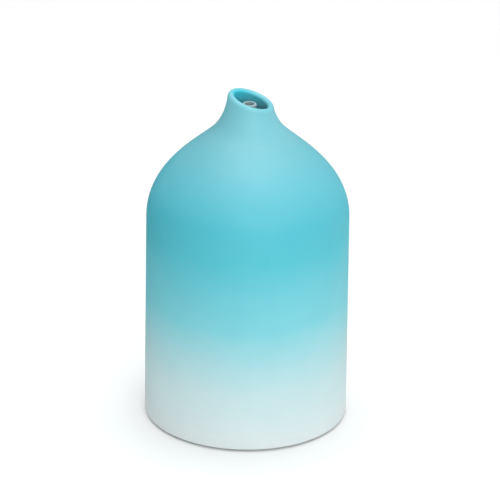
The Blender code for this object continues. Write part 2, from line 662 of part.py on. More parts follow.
def blade_mesh():
    """Separate pitched, slightly scooped blades around the hub."""
    builder = bmesh.new()
    inner_radius = 8.5
    outer_radius = 18.1
    half_thickness = 0.45
    columns = 3
    for number in range(BLADE_COUNT):
        start = 2 * math.pi * number / BLADE_COUNT
        grid = []
        for column in range(columns + 1):
            along = column / columns
            radius = inner_radius + (outer_radius - inner_radius) * along
            chord = math.radians(36 + 4 * along)
            sweep = math.radians(9) * along * along
            for t, z in ((0.0, 6.3), (0.5, 8.2), (1.0, 12.3)):
                angle = start + sweep + chord * (t - 0.5)
                x = radius * math.cos(angle)
                y = radius * math.sin(angle)
                grid.append((builder.verts.new((x, y, z - half_thickness)),
                             builder.verts.new((x, y, z + half_thickness))))
        for column in range(columns):
            for row in range(2):
                a, b = grid[3 * column + row], grid[3 * column + row + 1]
                c, d = grid[3 * column + row + 4], grid[3 * column + row + 3]
                builder.faces.new((a[1], b[1], c[1], d[1]))
                builder.faces.new((d[0], c[0], b[0], a[0]))
            for row, flip in ((0, False), (2, True)):
                a, d = grid[3 * column + row], grid[3 * column + row + 3]
                face = (a[0], d[0], d[1], a[1]) if not flip else (a[1], d[1], d[0], a[0])
                builder.faces.new(face)
        for column, flip in ((0, True), (columns, False)):
            for row in range(2):
                a, b = grid[3 * column + row], grid[3 * column + row + 1]
                face = (a[0], b[0], b[1], a[1]) if not flip else (a[1], b[1], b[0], a[0])
                builder.faces.new(face)
    return finish_mesh("blade_tool", builder)


def make_fan_rotor(parent):
    """Impeller, its ring magnet and its shaft, all turning about the fan's axis."""
    place = (*FAN_XY, 0)
    hub = [(0, 11.8), (8.0, 11.8), (8.0, 6.0), (9.0, 6.0), (9.0, 12.6), (8.4, 13.2), (0, 13.2)]
    impeller = add_object("fan_impeller", turned("fan_impeller", hub, MEDIUM + 4), BLACK_PLASTIC, place, parent=parent)
    join(impeller, blade_mesh(), place)
    magnet = ring_mesh("fan_magnet", 6.6, 7.7, 6.4, 11.4, MEDIUM)
    add_object("fan_magnet", magnet, STEEL, place, parent=parent)
    add_object("fan_shaft", cylinder_mesh("fan_shaft", 1.15, 5.2, 11.5, SMALL), STEEL, place, parent=parent)


# ---------------------------------------------------------------- the electronics

def make_main_board(parent):
    outline = [(-24, 9), (24, 9), (24, 26), (17, 34), (-17, 34), (-24, 26)]
    board = add_object("main_board", prism("main_board", outline, BOARD_BOTTOM_Z, BOARD_TOP_Z), CIRCUIT_BOARD,
                       parent=parent)
    spots = ((-20.5, 12.5), (20.5, 12.5))
    cut(board, many("board_hole_cutter", [circle(1.6, TINY, spot) for spot in spots], 0, 10))
    for number, spot in enumerate(spots, start=1):
        screw(f"board_screw_{number}", spot, BOARD_TOP_Z + GAP, True, 2.5, 1.3, 1.2, 3.2, parent)
    return board


def make_dc_inlet(parent):
    """Barrel jack: square body on the board, round nose through the panel, centre pin in its bore."""
    outline = rectangle(-4.5, 24, 4.5, PANEL_FRONT_Y - GAP)
    inlet = add_object("dc_inlet", prism("dc_inlet", outline, PART_Z, 2 * CONTROL_Z - PART_Z), BLACK_PLASTIC,
                       parent=parent)
    place = (0, PANEL_FACE_Y, CONTROL_Z)
    join(inlet, cylinder_mesh("inlet_nose_tool", 3.9, -3.0, 0.2, SMALL), place, OUT_OF_REAR)
    pocket = [(1.0, -10.0), (2.75, -10.0), (2.75, 1.0), (0, 1.0), (0, -0.6), (0.6, -0.6), (1.0, -1.0)]
    cut(inlet, turned("inlet_pocket_cutter", pocket, SMALL), place, OUT_OF_REAR)
    return inlet


def make_board_parts(parent):
    fins = [(-23, 15)]
    for step in range(4):
        x = -23 + 2.4 * step
        fins += [(x, 22), (x + 1.0, 22), (x + 1.0, 16.2), (x + 2.4, 16.2)]
    fins = fins[:-1] + [(-14.8, 15)]
    add_object("heat_sink", prism("heat_sink", fins, PART_Z, 24), ALUMINIUM, parent=parent)
    transistor = prism("power_transistor", rectangle(-17.6, 11.4, -11.6, 14.7), 9.0, 19)
    add_object("power_transistor", transistor, BLACK_PLASTIC, parent=parent)
    drum = [(0, 0), (4.5, 0), (4.5, 1.4), (3.4, 1.9), (3.4, 6.6), (4.5, 7.1), (4.5, 8.5), (0, 8.5)]
    add_object("drum_inductor", turned("drum_inductor", drum, SMALL), COPPER, (-8.5, 20, PART_Z), parent=parent)
    can = [(0, 0), (3.2, 0), (3.2, 1.0), (2.9, 1.4), (3.2, 1.8), (3.2, 10.6), (2.8, 11), (0, 11)]
    can_mesh = turned("capacitor", can, SMALL)
    for number, place in enumerate(((9.5, 25.5, PART_Z), (16, 20.5, PART_Z)), start=1):
        add_object(f"capacitor_{number}", can_mesh, ALUMINIUM, place, parent=parent)
    chip = prism("controller_chip", rounded_rectangle(4.5, 3.0, 0.4, 1), 0, 1.6)
    add_object("controller_chip", chip, BLACK_PLASTIC, (5, 15, PART_Z), parent=parent)


def make_switches(parent):
    """Upright board across the inlet, with one small key switch behind each button."""
    inlet_gap = 5.2
    outline = [(-19, PART_Z), (-inlet_gap, PART_Z), (-inlet_gap, 18), (inlet_gap, 18), (inlet_gap, PART_Z),
               (19, PART_Z), (19, 21), (-19, 21)]
    board = prism("switch_board", outline, -SWITCH_BOARD_Y - 1.2, -SWITCH_BOARD_Y)
    add_object("switch_board", board, CIRCUIT_BOARD, turn=FACING_REAR, parent=parent)
    half_size = 3.0
    for name, x in (("mist_switch", -BUTTON_X), ("light_switch", BUTTON_X)):
        place = (x, SWITCH_BOARD_Y + 1.2 + GAP, CONTROL_Z)
        body = prism(name, rectangle(-half_size, -half_size, half_size, half_size), 0, 2.6)
        switch = add_object(name, body, BLACK_PLASTIC, place, OUT_OF_REAR, parent)
        join(switch, cylinder_mesh(f"{name}_plunger_tool", 1.7, 1.0, 3.5, TINY), place, OUT_OF_REAR)


def make_led_board(parent):
    """C-shaped board around the inside of the shell, with three lamps that light the tank."""
    outline = arc((0, 0), 33.5, 140, 400, 18) + arc((0, 0), 40.5, 400, 140, 18)
    board = prism("led_board", outline, LED_BOARD_Z, LED_BOARD_Z + LED_BOARD_THICKNESS)
    add_object("led_board", board, CIRCUIT_BOARD, parent=parent)
    lamp_mesh = prism("led", rounded_rectangle(2.5, 2.5, 0.5, 1), 0, 1.6)
    for number, degrees in enumerate(LED_ANGLES, start=1):
        angle = math.radians(degrees)
        lamp_z = LED_BOARD_Z + LED_BOARD_THICKNESS + GAP
        place = (LED_CIRCLE * math.cos(angle), LED_CIRCLE * math.sin(angle), lamp_z)
        add_object(f"led_{number}", lamp_mesh, SILICONE, place, (0, 0, angle), parent)


def make_leads(parent):
    """Insulated leads from the main board to the fan, the transducer and the lamps."""
    lead("fan_lead", [(21.5, 4.5, 10), (23.5, 8, 12), (22, 12, 11.5), (20, 17, 7.9)], 0.8, parent)
    lead("transducer_lead", [(0, -10, 39.3), (0, -8, 34.5), (3, 2, 26), (2, 11, 16), (-2, 13, 7.9)], 0.8, parent)
    lead("led_lead", [(34, -6, 28.9), (32, -2, 24), (29, 6, 17), (24, 13, 11), (21, 20, 7.9)], 0.8, parent)


def make_case_screws(parent):
    for number, spot in enumerate(CASE_SCREW_SPOTS, start=1):
        screw(f"case_screw_{number}", spot, 2.0, False, 2.7, 1.0, 1.3, 9.6, parent)


# ---------------------------------------------------------------- assembly

def clear_scene():
    for old in list(bpy.data.objects):
        bpy.data.objects.remove(old, do_unlink=True)


def main():
    clear_scene()
    base = empty("base")
    make_bottom_cover(base)
    make_feet(base)
    make_base_shell(base)
    make_rear_panel(base)
    make_tank_basin(base)
    make_tank_seal(base)
    make_air_funnel(base)
    make_transducer(base)
    make_level_probe(base)
    make_fan_frame(base)
    make_fan_motor(base)
    make_main_board(base)
    make_dc_inlet(base)
    make_board_parts(base)
    make_switches(base)
    make_led_board(base)
    make_leads(base)
    make_case_screws(base)

    rotor = empty("fan_rotor", (*FAN_XY, 0))
    rotor.parent = base
    make_fan_rotor(rotor)
    make_button("mist_button", -BUTTON_X, base)
    make_button("light_button", BUTTON_X, base)

    lid = empty("lid")
    lid.parent = base
    make_splash_cover(lid)
    make_mist_chimney(lid)
    make_mist_nozzle(lid)
    sleeve = empty("cover")
    sleeve.parent = lid
    make_ceramic_cover(sleeve)


main()
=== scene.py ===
"""Looks of the ultrasonic aroma diffuser: a detailed piece stands for every CAD node.

Shapes are given in millimetres, lamps, camera and texture scales in metres, all in the CAD's frame:
+Z is up, the rear faces +Y and the cover's mouth slopes down towards +X.
"""
import json
import math

import bmesh
import bpy
from mathutils import Matrix, Vector


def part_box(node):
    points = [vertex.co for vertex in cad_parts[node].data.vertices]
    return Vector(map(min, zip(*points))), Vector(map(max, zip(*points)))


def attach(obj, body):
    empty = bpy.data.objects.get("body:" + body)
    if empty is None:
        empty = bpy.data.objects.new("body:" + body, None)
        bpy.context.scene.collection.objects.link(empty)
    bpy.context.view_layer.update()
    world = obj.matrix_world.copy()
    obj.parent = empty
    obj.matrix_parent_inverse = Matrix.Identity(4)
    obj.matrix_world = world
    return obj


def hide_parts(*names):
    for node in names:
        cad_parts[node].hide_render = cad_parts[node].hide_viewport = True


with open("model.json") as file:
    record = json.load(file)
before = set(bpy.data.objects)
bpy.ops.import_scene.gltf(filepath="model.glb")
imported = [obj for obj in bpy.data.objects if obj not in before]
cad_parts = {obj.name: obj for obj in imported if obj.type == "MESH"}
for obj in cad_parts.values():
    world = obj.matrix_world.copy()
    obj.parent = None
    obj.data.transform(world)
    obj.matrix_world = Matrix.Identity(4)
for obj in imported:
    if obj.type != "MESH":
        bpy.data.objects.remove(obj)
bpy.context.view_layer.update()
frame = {"record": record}
record = frame["record"]
BODY_OF = {node: body for body, nodes in record["behaviour"]["bodies"].items() for node in nodes}

MM = 0.001
FINE = 144                     # sides of a large round piece
MEDIUM = 72
SMALL = 36
TINY = 20
SMOOTH_BELOW = 40              # degrees between two faces, up to which they shade as one surface


# ---------------------------------------------------------------- node trees

class Look:
    """One Principled material with short calls for its nodes."""

    def __init__(self, name, color=(0.8, 0.8, 0.8), roughness=0.5, metallic=0.0, **sockets):
        self.material = bpy.data.materials.new(name)
        self.material.use_nodes = True
        self.tree = self.material.node_tree
        self.shader = self.tree.nodes["Principled BSDF"]
        self.shader.inputs["Base Color"].default_value = (*color, 1.0)
        self.shader.inputs["Roughness"].default_value = roughness
        self.shader.inputs["Metallic"].default_value = metallic
        for socket, value in sockets.items():
            self.shader.inputs[socket.replace("_", " ")].default_value = value
        self.place = self.tree.nodes.new("ShaderNodeTexCoord").outputs["Object"]

    def node(self, kind, **inputs):
        made = self.tree.nodes.new(kind)
        for socket, value in inputs.items():
            self.feed(made.inputs[socket.replace("_", " ")], value)
        return made

    def feed(self, socket, value):
        if isinstance(value, bpy.types.NodeSocket):
            self.tree.links.new(value, socket)
        else:
            socket.default_value = value

    def stretched(self, x, y, z):
        made = self.node("ShaderNodeMapping", Vector=self.place)
        made.inputs["Scale"].default_value = (x, y, z)
        return made.outputs["Vector"]

    def noise(self, scale, detail=3.0, roughness=0.5, vector=None):
        made = self.node("ShaderNodeTexNoise", Vector=vector or self.place, Scale=scale, Detail=detail,
                         Roughness=roughness)
        return made.outputs["Fac"]

    def cells(self, scale):
        return self.node("ShaderNodeTexVoronoi", Vector=self.place, Scale=scale).outputs["Distance"]

    def courses(self, length, row, degrees):
        """Joint lines of a brick pattern, turned about Z."""
        turn = self.node("ShaderNodeMapping", Vector=self.place)
        turn.inputs["Rotation"].default_value = (0.0, 0.0, math.radians(degrees))
        made = self.node("ShaderNodeTexBrick", Vector=turn.outputs["Vector"], Scale=1.0, Mortar_Size=0.00018,
                         Mortar_Smooth=0.2, Brick_Width=length, Row_Height=row)
        return made.outputs["Fac"]

    def axis(self, name):
        return self.node("ShaderNodeSeparateXYZ", Vector=self.place).outputs[name]

    def math(self, operation, first, second=0.5):
        made = self.tree.nodes.new("ShaderNodeMath")
        made.operation = operation
        for socket, value in zip(made.inputs, (first, second)):
            self.feed(socket, value)
        return made.outputs["Value"]

    def spread(self, value, low, high, new_low=0.0, new_high=1.0):
        made = self.node("ShaderNodeMapRange", Value=value, From_Min=low, From_Max=high, To_Min=new_low,
                         To_Max=new_high)
        return made.outputs["Result"]

    def ramp(self, factor, stops):
        made = self.node("ShaderNodeValToRGB", Fac=factor)
        ramp = made.color_ramp
        while len(ramp.elements) < len(stops):
            ramp.elements.new(0.5)
        for element, (position, color) in zip(ramp.elements, stops):
            element.position = position
            element.color = (*color, 1.0)
        return made.outputs["Color"]

    def mix(self, factor, first, second, blend="MIX"):
        made = self.tree.nodes.new("ShaderNodeMix")
        made.data_type = "RGBA"
        made.blend_type = blend
        for socket, value in zip((made.inputs[0], made.inputs[6], made.inputs[7]), (factor, first, second)):
            if isinstance(value, tuple) and len(value) == 3:
                value = (*value, 1.0)
            self.feed(socket, value)
        return made.outputs[2]

    def bump(self, height, strength, distance, before=None):
        made = self.node("ShaderNodeBump", Height=height, Strength=strength, Distance=distance)
        if before:
            self.feed(made.inputs["Normal"], before)
        return made.outputs["Normal"]

    def set(self, **sockets):
        for socket, value in sockets.items():
            self.feed(self.shader.inputs[socket.replace("_", " ")], value)
        return self.material


# ---------------------------------------------------------------- materials

def srgb(red, green, blue):
    """Linear colour for a display colour given as 0 to 255."""
    """Linear colour from 0 to 255 display values."""
    levels = [level / 255 for level in (red, green, blue)]
    return tuple(((c + 0.055) / 1.055) ** 2.4 if c > 0.04 else c / 12.92 for c in levels)


def ombre_ceramic():
    """Matt sprayed glaze: turquoise above, fading below mid height to mint white; paler near the neck, where
    sheen of the top lamp is painted into the colour; deeper teal inside the mouth, partly the inner glaze and
    partly painted bounce light.
    """
    look = Look("ombre_ceramic", roughness=0.55, Specular_IOR_Level=0.8)
    height = look.axis("Z")
    wander = look.math("MULTIPLY", look.math("SUBTRACT", look.noise(22.0, 3.0), 0.5), 0.010)
    speckle = look.math("MULTIPLY", look.math("SUBTRACT", look.noise(900.0, 2.0, 0.7), 0.5), 0.006)
    level = look.math("ADD", look.math("ADD", height, wander), speckle)
    tone = look.ramp(look.spread(level, 0.0, 0.168), [
        (0.00, srgb(225, 234, 234)),
        (0.19, srgb(191, 224, 227)),
        (0.38, srgb(117, 207, 218)),
        (0.60, srgb(64, 191, 206)),
        (0.68, srgb(61, 185, 202)),
        # The two highest stops, paler towards the neck, are painted sheen of the top lamp on the up-facing
        # shoulder and neck.
        (0.88, srgb(112, 188, 200)),
        (1.00, srgb(116, 199, 211)),
    ])
    # Deeper teal inside the bore and mouth: partly the inner glaze, partly painted bounce light that stands
    # in for the teal inter-reflection there.
    around = look.tree.nodes.new("ShaderNodeVectorMath")
    around.operation = "LENGTH"
    look.feed(around.inputs[0], look.stretched(1.0, 1.0, 0.0))
    mouth_glaze_and_bounce = look.spread(around.outputs["Value"], 0.0088, 0.0072)
    tone = look.mix(mouth_glaze_and_bounce, tone, srgb(8, 205, 228))
    shade = look.ramp(look.noise(60.0, 4.0), [(0.3, (0.95, 0.97, 0.975)), (0.7, (1.0, 1.0, 1.0))])
    color = look.mix(1.0, tone, shade, "MULTIPLY")
    pits = look.math("GREATER_THAN", look.cells(420.0), 0.06)
    color = look.mix(0.5, color, look.mix(pits, (0.90, 0.93, 0.94), (1.0, 1.0, 1.0)), "MULTIPLY")
    fine = look.bump(look.noise(2600.0, 2.0, 0.6), 0.25, 0.00008)
    body = look.bump(look.noise(70.0, 2.0), 0.2, 0.0006, fine)
    roughness = look.spread(look.noise(45.0), 0.3, 0.7, 0.5, 0.64)
    return look.set(Base_Color=color, Roughness=roughness, Normal=body)


def moulded_plastic(name, color, roughness=0.45, grain=1500.0, depth=0.00004, **sockets):
    """Injection-moulded plastic with a spark-eroded grain and faint flow marks."""
    look = Look(name, color, roughness, **sockets)
    flow = look.noise(9.0, 4.0, 0.6, look.stretched(1.0, 1.0, 3.0))
    darker = tuple(c * 0.93 for c in color)
    tone = look.ramp(flow, [(0.3, darker), (0.7, color)])
    grains = look.bump(look.noise(grain, 3.0, 0.6), 0.35, depth)
    sink = look.bump(look.noise(35.0, 1.0), 0.15, 0.0003, grains)
    gloss = look.spread(look.noise(60.0), 0.3, 0.7, roughness - 0.05, roughness + 0.07)
    return look.set(Base_Color=tone, Roughness=gloss, Normal=sink)


def clear_plastic():
    """Milky polypropylene: light passes through it, and a moulded grain blurs what is behind."""
    look = Look("milky_plastic", (0.90, 0.94, 0.95), 0.34, Transmission_Weight=0.55, IOR=1.46)
    flow = look.noise(16.0, 4.0, 0.6, look.stretched(1.0, 1.0, 0.4))
    tone = look.ramp(flow, [(0.3, (0.84, 0.90, 0.92)), (0.7, (0.93, 0.96, 0.97))])
    grains = look.bump(look.noise(1300.0, 3.0, 0.6), 0.3, 0.00004)
    scuffs = look.bump(look.noise(90.0, 5.0, 0.7, look.stretched(1.0, 1.0, 6.0)), 0.12, 0.0002, grains)
    roughness = look.spread(look.noise(70.0), 0.3, 0.7, 0.28, 0.42)
    return look.set(Base_Color=tone, Roughness=roughness, Normal=scuffs)


def silicone(name, color, roughness):
    """Soft rubbery surface with a dusty bloom and a very fine pebble."""
    look = Look(name, color, roughness, Specular_IOR_Level=0.3, Sheen_Weight=0.12, Sheen_Roughness=0.5)
    dust = look.noise(55.0, 5.0, 0.7)
    darker = tuple(c * 0.86 for c in color)
    lighter = tuple(min(c * 1.06 + 0.01, 1.0) for c in color)
    tone = look.ramp(dust, [(0.32, darker), (0.55, color), (0.75, lighter)])
    pebble = look.bump(look.cells(1400.0), 0.3, 0.00005)
    ripple = look.bump(look.noise(120.0, 2.0), 0.2, 0.0002, pebble)
    gloss = look.spread(look.noise(80.0), 0.3, 0.7, roughness - 0.08, roughness + 0.08)
    return look.set(Base_Color=tone, Roughness=gloss, Normal=ripple)


def metal(name, color, roughness, brush=(1.0, 1.0, 1.0), depth=0.00003, tarnish=0.88):
    """Bare metal: brush gives the direction of its machining lines, as a stretch of the noise."""
    look = Look(name, color, roughness, 1.0)
    lines = look.noise(700.0, 4.0, 0.65, look.stretched(*brush))
    stain = look.noise(120.0, 4.0, 0.65)
    darker = tuple(c * tarnish for c in color)
    tone = look.mix(look.spread(stain, 0.35, 0.7), color, darker)
    tone = look.mix(look.spread(lines, 0.35, 0.65, 0.0, 0.25), tone, darker)
    gloss = look.math("ADD", look.spread(lines, 0.3, 0.7, roughness - 0.06, roughness + 0.1),
                      look.spread(stain, 0.3, 0.7, 0.0, 0.08))
    return look.set(Base_Color=tone, Roughness=gloss, Normal=look.bump(lines, 0.3, depth))


def solder_mask(name, color, copper):
    """Board lacquer over straight tracks, which change direction from zone to zone, with tinned vias."""
    look = Look(name, color, 0.3, Coat_Weight=0.35, Coat_Roughness=0.12)
    zone = look.spread(look.noise(75.0, 0.0), 0.495, 0.505)
    other_zone = look.math("SUBTRACT", 1.0, zone)
    tracks = look.math("ADD", look.math("MULTIPLY", zone, look.courses(0.011, 0.0014, 0.0)),
                       look.math("MULTIPLY", other_zone, look.courses(0.008, 0.0017, 90.0)))
    vias = look.spread(look.cells(270.0), 0.075, 0.095, 1.0, 0.0)
    weave = look.noise(900.0, 2.0, 0.5, look.stretched(1.0, 0.3, 1.0))
    ground = look.mix(look.spread(weave, 0.35, 0.65), tuple(c * 0.85 for c in color), color)
    tone = look.mix(tracks, ground, tuple(c * 1.6 + 0.005 for c in color))
    tone = look.mix(vias, tone, copper)
    raised = look.bump(look.math("ADD", tracks, vias), 0.35, 0.00005)
    return look.set(Base_Color=tone, Roughness=look.spread(weave, 0.3, 0.7, 0.24, 0.38),
                    Metallic=look.math("MULTIPLY", vias, 0.9), Normal=raised)


def enamelled_wire():
    """Turns of enamelled copper wire, wound about the piece's upright axis, with painted shade between the
    turns and painted highlights on their crests.
    """
    look = Look("enamelled_copper", (0.72, 0.34, 0.14), 0.28, 0.9, Coat_Weight=0.6, Coat_Roughness=0.1)
    turns = look.math("SINE", look.math("MULTIPLY", look.axis("Z"), 2 * math.pi / 0.0004))
    wander = look.noise(300.0, 3.0)
    # Dark in the grooves between turns and bright on their crests: painted shade and painted highlight along
    # the winding.
    tone = look.mix(look.spread(turns, -1.0, 0.4), (0.22, 0.08, 0.03), (0.80, 0.39, 0.17))
    tone = look.mix(look.spread(wander, 0.35, 0.7, 0.0, 0.4), tone, (0.50, 0.20, 0.08))
    return look.set(Base_Color=tone, Roughness=look.spread(wander, 0.3, 0.7, 0.22, 0.36),
                    Normal=look.bump(turns, 0.7, 0.00012))


def lamp_resin():
    """Yellow phosphor in clear resin."""
    look = Look("lamp_resin", (0.92, 0.76, 0.22), 0.22, Coat_Weight=0.7, Coat_Roughness=0.06)
    grains = look.noise(1100.0, 3.0, 0.7)
    tone = look.ramp(grains, [(0.35, (0.84, 0.62, 0.12)), (0.65, (0.95, 0.82, 0.30))])
    return look.set(Base_Color=tone, Roughness=look.spread(grains, 0.3, 0.7, 0.16, 0.3),
                    Normal=look.bump(look.noise(160.0), 0.2, 0.0002))


LOOKS = {}


def finish_named(name):
    """One shared material for each finish, made when it is first asked for."""
    recipes = {
        "white": lambda: moulded_plastic("white_moulding", (0.80, 0.83, 0.83), 0.42),
        "clear": clear_plastic,
        "grey": lambda: moulded_plastic("grey_moulding", (0.26, 0.28, 0.29), 0.5, 1100.0, 0.00006),
        "black": lambda: moulded_plastic("black_moulding", (0.022, 0.022, 0.024), 0.42, 1300.0, 0.00005),
        "nozzle": lambda: silicone("nozzle_silicone", (0.34, 0.47, 0.49), 0.5),
        "seal": lambda: silicone("seal_silicone", (0.72, 0.71, 0.67), 0.5),
        "rubber": lambda: silicone("foot_rubber", (0.055, 0.055, 0.058), 0.72),
        "steel": lambda: metal("zinc_steel", (0.62, 0.62, 0.64), 0.28, (1.0, 1.0, 9.0)),
        "silver": lambda: metal("silver_electrode", (0.82, 0.82, 0.80), 0.42, (6.0, 1.0, 1.0), 0.00002, 0.93),
        "tin": lambda: metal("tinned_lead", (0.70, 0.70, 0.69), 0.3, (2.0, 2.0, 1.0), 0.00003),
        "magnet": lambda: metal("magnet_ring", (0.16, 0.16, 0.17), 0.5, (1.0, 1.0, 4.0), 0.00004),
        "brass": lambda: metal("brass_plate", (0.78, 0.55, 0.24), 0.3, (7.0, 1.0, 1.0)),
        "aluminium": lambda: metal("drawn_aluminium", (0.76, 0.77, 0.78), 0.34, (1.0, 1.0, 0.12)),
        "copper": enamelled_wire,
        "board": lambda: solder_mask("green_board", (0.012, 0.12, 0.045), (0.72, 0.70, 0.64)),
        "lamp": lamp_resin,
        "red": lambda: moulded_plastic("red_insulation", (0.46, 0.022, 0.016), 0.35, 1700.0),
        "dark": lambda: moulded_plastic("black_insulation", (0.02, 0.02, 0.022), 0.35, 1700.0),
        "sleeve": lambda: moulded_plastic("capacitor_sleeve", (0.012, 0.028, 0.09), 0.25, 1900.0, 0.00002),
        "ferrite": lambda: moulded_plastic("ferrite", (0.045, 0.042, 0.044), 0.6, 2400.0, 0.00008),
    }
    if name not in LOOKS:
        LOOKS[name] = recipes[name]()
    return LOOKS[name]


# ---------------------------------------------------------------- mesh helpers

def stand_in(node, mesh, *finishes):
    """Show a mesh in place of a CAD node, on the node's own body and with the given finishes."""
    piece = bpy.data.objects.new(f"{node}_detail", mesh)
    bpy.context.scene.collection.objects.link(piece)
    for each in finishes:
        mesh.materials.append(finish_named(each) if isinstance(each, str) else each)
    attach(piece, BODY_OF[node])
    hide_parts(node)
    return piece


def box_mm(node):
    low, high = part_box(node)
    return low / MM, high / MM


def middle(node):
    """Centre of a node seen from above, in millimetres."""
    low, high = box_mm(node)
    return ((low.x + high.x) / 2, (low.y + high.y) / 2)


def mesh_from(name, builder, smooth_angle=SMOOTH_BELOW):
    bmesh.ops.recalc_face_normals(builder, faces=builder.faces)
    mesh = bpy.data.meshes.new(name)
    builder.to_mesh(mesh)
    builder.free()
    mesh.shade_smooth()
    mesh.set_sharp_from_angle(angle=math.radians(smooth_angle))
    return mesh


def lofted(name, sections, centre=(0.0, 0.0), smooth_angle=SMOOTH_BELOW):
    """Join closed (radius, z) outlines in millimetres, one for each equal step of angle, into a solid."""
    sides = len(sections)
    builder = bmesh.new()
    rings = []
    for place in range(len(sections[0])):
        ring = []
        for step in range(1 if sections[0][place][0] < 1e-6 else sides):
            radius, height = sections[step][place]
            angle = 2 * math.pi * step / sides
            x = centre[0] + radius * math.cos(angle)
            y = centre[1] + radius * math.sin(angle)
            ring.append(builder.verts.new((x * MM, y * MM, height * MM)))
        rings.append(ring)
    for ring, other in zip(rings, rings[1:] + rings[:1]):
        if len(ring) == 1 and len(other) == 1:
            continue
        for step in range(sides):
            after = (step + 1) % sides
            corners = [ring[step % len(ring)], ring[after % len(ring)], other[after % len(other)],
                       other[step % len(other)]]
            builder.faces.new(list(dict.fromkeys(corners)))
    return mesh_from(name, builder, smooth_angle)


def turned(name, profile, sides, centre=(0.0, 0.0), smooth_angle=SMOOTH_BELOW):
    """Revolve a closed (radius, z) outline, given in millimetres, about a vertical line."""
    return lofted(name, [profile] * sides, centre, smooth_angle)


def filleted(outline, radius, steps=4):
    """Round the corners of a closed outline, except those on the axis."""
    points = []
    for index, corner in enumerate(outline):
        here = Vector(corner)
        before = Vector(outline[index - 1]) - here
        after = Vector(outline[(index + 1) % len(outline)]) - here
        if corner[0] == 0:
            points.append(tuple(corner))
            continue
        reach = min(radius, 0.45 * before.length, 0.45 * after.length)
        start = here + before.normalized() * reach
        end = here + after.normalized() * reach
        for step in range(steps + 1):
            t = step / steps
            points.append(tuple(start * (1 - t) ** 2 + here * 2 * t * (1 - t) + end * t ** 2))
    return points


def arc(centre, radius, start, end, steps):
    points = []
    for step in range(steps + 1):
        angle = math.radians(start + (end - start) * step / steps)
        points.append((centre[0] + radius * math.cos(angle), centre[1] + radius * math.sin(angle)))
    return points


def on_curve(corners, t):
    weights = ((1 - t) ** 3, 3 * t * (1 - t) ** 2, 3 * t * t * (1 - t), t ** 3)
    return tuple(sum(weight * corner[axis] for weight, corner in zip(weights, corners)) for axis in (0, 1))


def bezier(first, handle_a, handle_b, last, steps, skip_first=True):
    start = 1 if skip_first else 0
    return [on_curve((first, handle_a, handle_b, last), step / steps) for step in range(start, steps + 1)]


def straight(first, last, steps):
    """Evenly spaced points after the first, up to and with the last."""
    return [(first[0] + (last[0] - first[0]) * s / steps, first[1] + (last[1] - first[1]) * s / steps)
            for s in range(1, steps + 1)]


def bake(piece):
    """Apply a piece's modifiers, so that no cutter has to stay in the scene."""
    graph = bpy.context.evaluated_depsgraph_get()
    done = bpy.data.meshes.new_from_object(piece.evaluated_get(graph))
    piece.modifiers.clear()
    old = piece.data
    piece.data = done
    bpy.data.meshes.remove(old)


def shape(mesh, changes, bevel=None, segments=2):
    """Boolean steps on a mesh: (operation, tool mesh) pairs, then an optional edge bevel in millimetres."""
    piece = bpy.data.objects.new("work", mesh)
    bpy.context.scene.collection.objects.link(piece)
    tools = []
    for operation, tool_mesh in changes:
        tool = bpy.data.objects.new("tool", tool_mesh)
        bpy.context.scene.collection.objects.link(tool)
        tools.append(tool)
        change = piece.modifiers.new("change", "BOOLEAN")
        change.operation = operation
        change.object = tool
        change.solver = "EXACT"
    if bevel:
        clean = piece.modifiers.new("clean", "WELD")
        clean.merge_threshold = 0.00001
        edge = piece.modifiers.new("edge", "BEVEL")
        edge.width = bevel * MM
        edge.segments = segments
        edge.limit_method = "ANGLE"
        edge.angle_limit = math.radians(SMOOTH_BELOW)
        edge.use_clamp_overlap = True
    bpy.context.view_layer.update()
    bake(piece)
    piece.data.shade_smooth()
    piece.data.set_sharp_from_angle(angle=math.radians(SMOOTH_BELOW))
    if bevel:
        piece.modifiers.new("flats", "WEIGHTED_NORMAL").keep_sharp = True
        bpy.context.view_layer.update()
        bake(piece)
    result = piece.data
    result.materials.clear()
    for thing in [piece] + tools:
        bpy.data.objects.remove(thing, do_unlink=True)
    return result


def prism(name, outlines, bottom, top, turn=None):
    """Extruded (x, y) outlines in millimetres as one mesh of separate solids; turn is a 4x4 placed after."""
    builder = bmesh.new()
    for outline in outlines:
        low = [builder.verts.new((x * MM, y * MM, bottom * MM)) for x, y in outline]
        high = [builder.verts.new((x * MM, y * MM, top * MM)) for x, y in outline]
        builder.faces.new(list(reversed(low)))
        builder.faces.new(high)
        for step in range(len(outline)):
            after = (step + 1) % len(outline)
            builder.faces.new((low[step], low[after], high[after], high[step]))
    if turn:
        bmesh.ops.transform(builder, matrix=turn, verts=builder.verts)
    return mesh_from(name, builder)


def rounded_rectangle(half_x, half_y, corner, steps=6, centre=(0, 0)):
    points = []
    for turn, (sign_x, sign_y) in enumerate(((1, 1), (-1, 1), (-1, -1), (1, -1))):
        middle = (centre[0] + sign_x * (half_x - corner), centre[1] + sign_y * (half_y - corner))
        points += arc(middle, corner, 90 * turn, 90 * turn + 90, steps)
    return points


def circle(radius, sides, centre=(0, 0)):
    return arc(centre, radius, 0, 360 * (sides - 1) / sides, sides - 1)


FACING_REAR = Matrix.Rotation(math.radians(90), 4, "X")      # (x, y, z) goes to (x, -z, y)
OUT_OF_REAR = Matrix.Rotation(math.radians(-90), 4, "X")     # (x, y, z) goes to (x, z, -y)


def rectangle(x_low, y_low, x_high, y_high):
    return [(x_low, y_low), (x_high, y_low), (x_high, y_high), (x_low, y_high)]


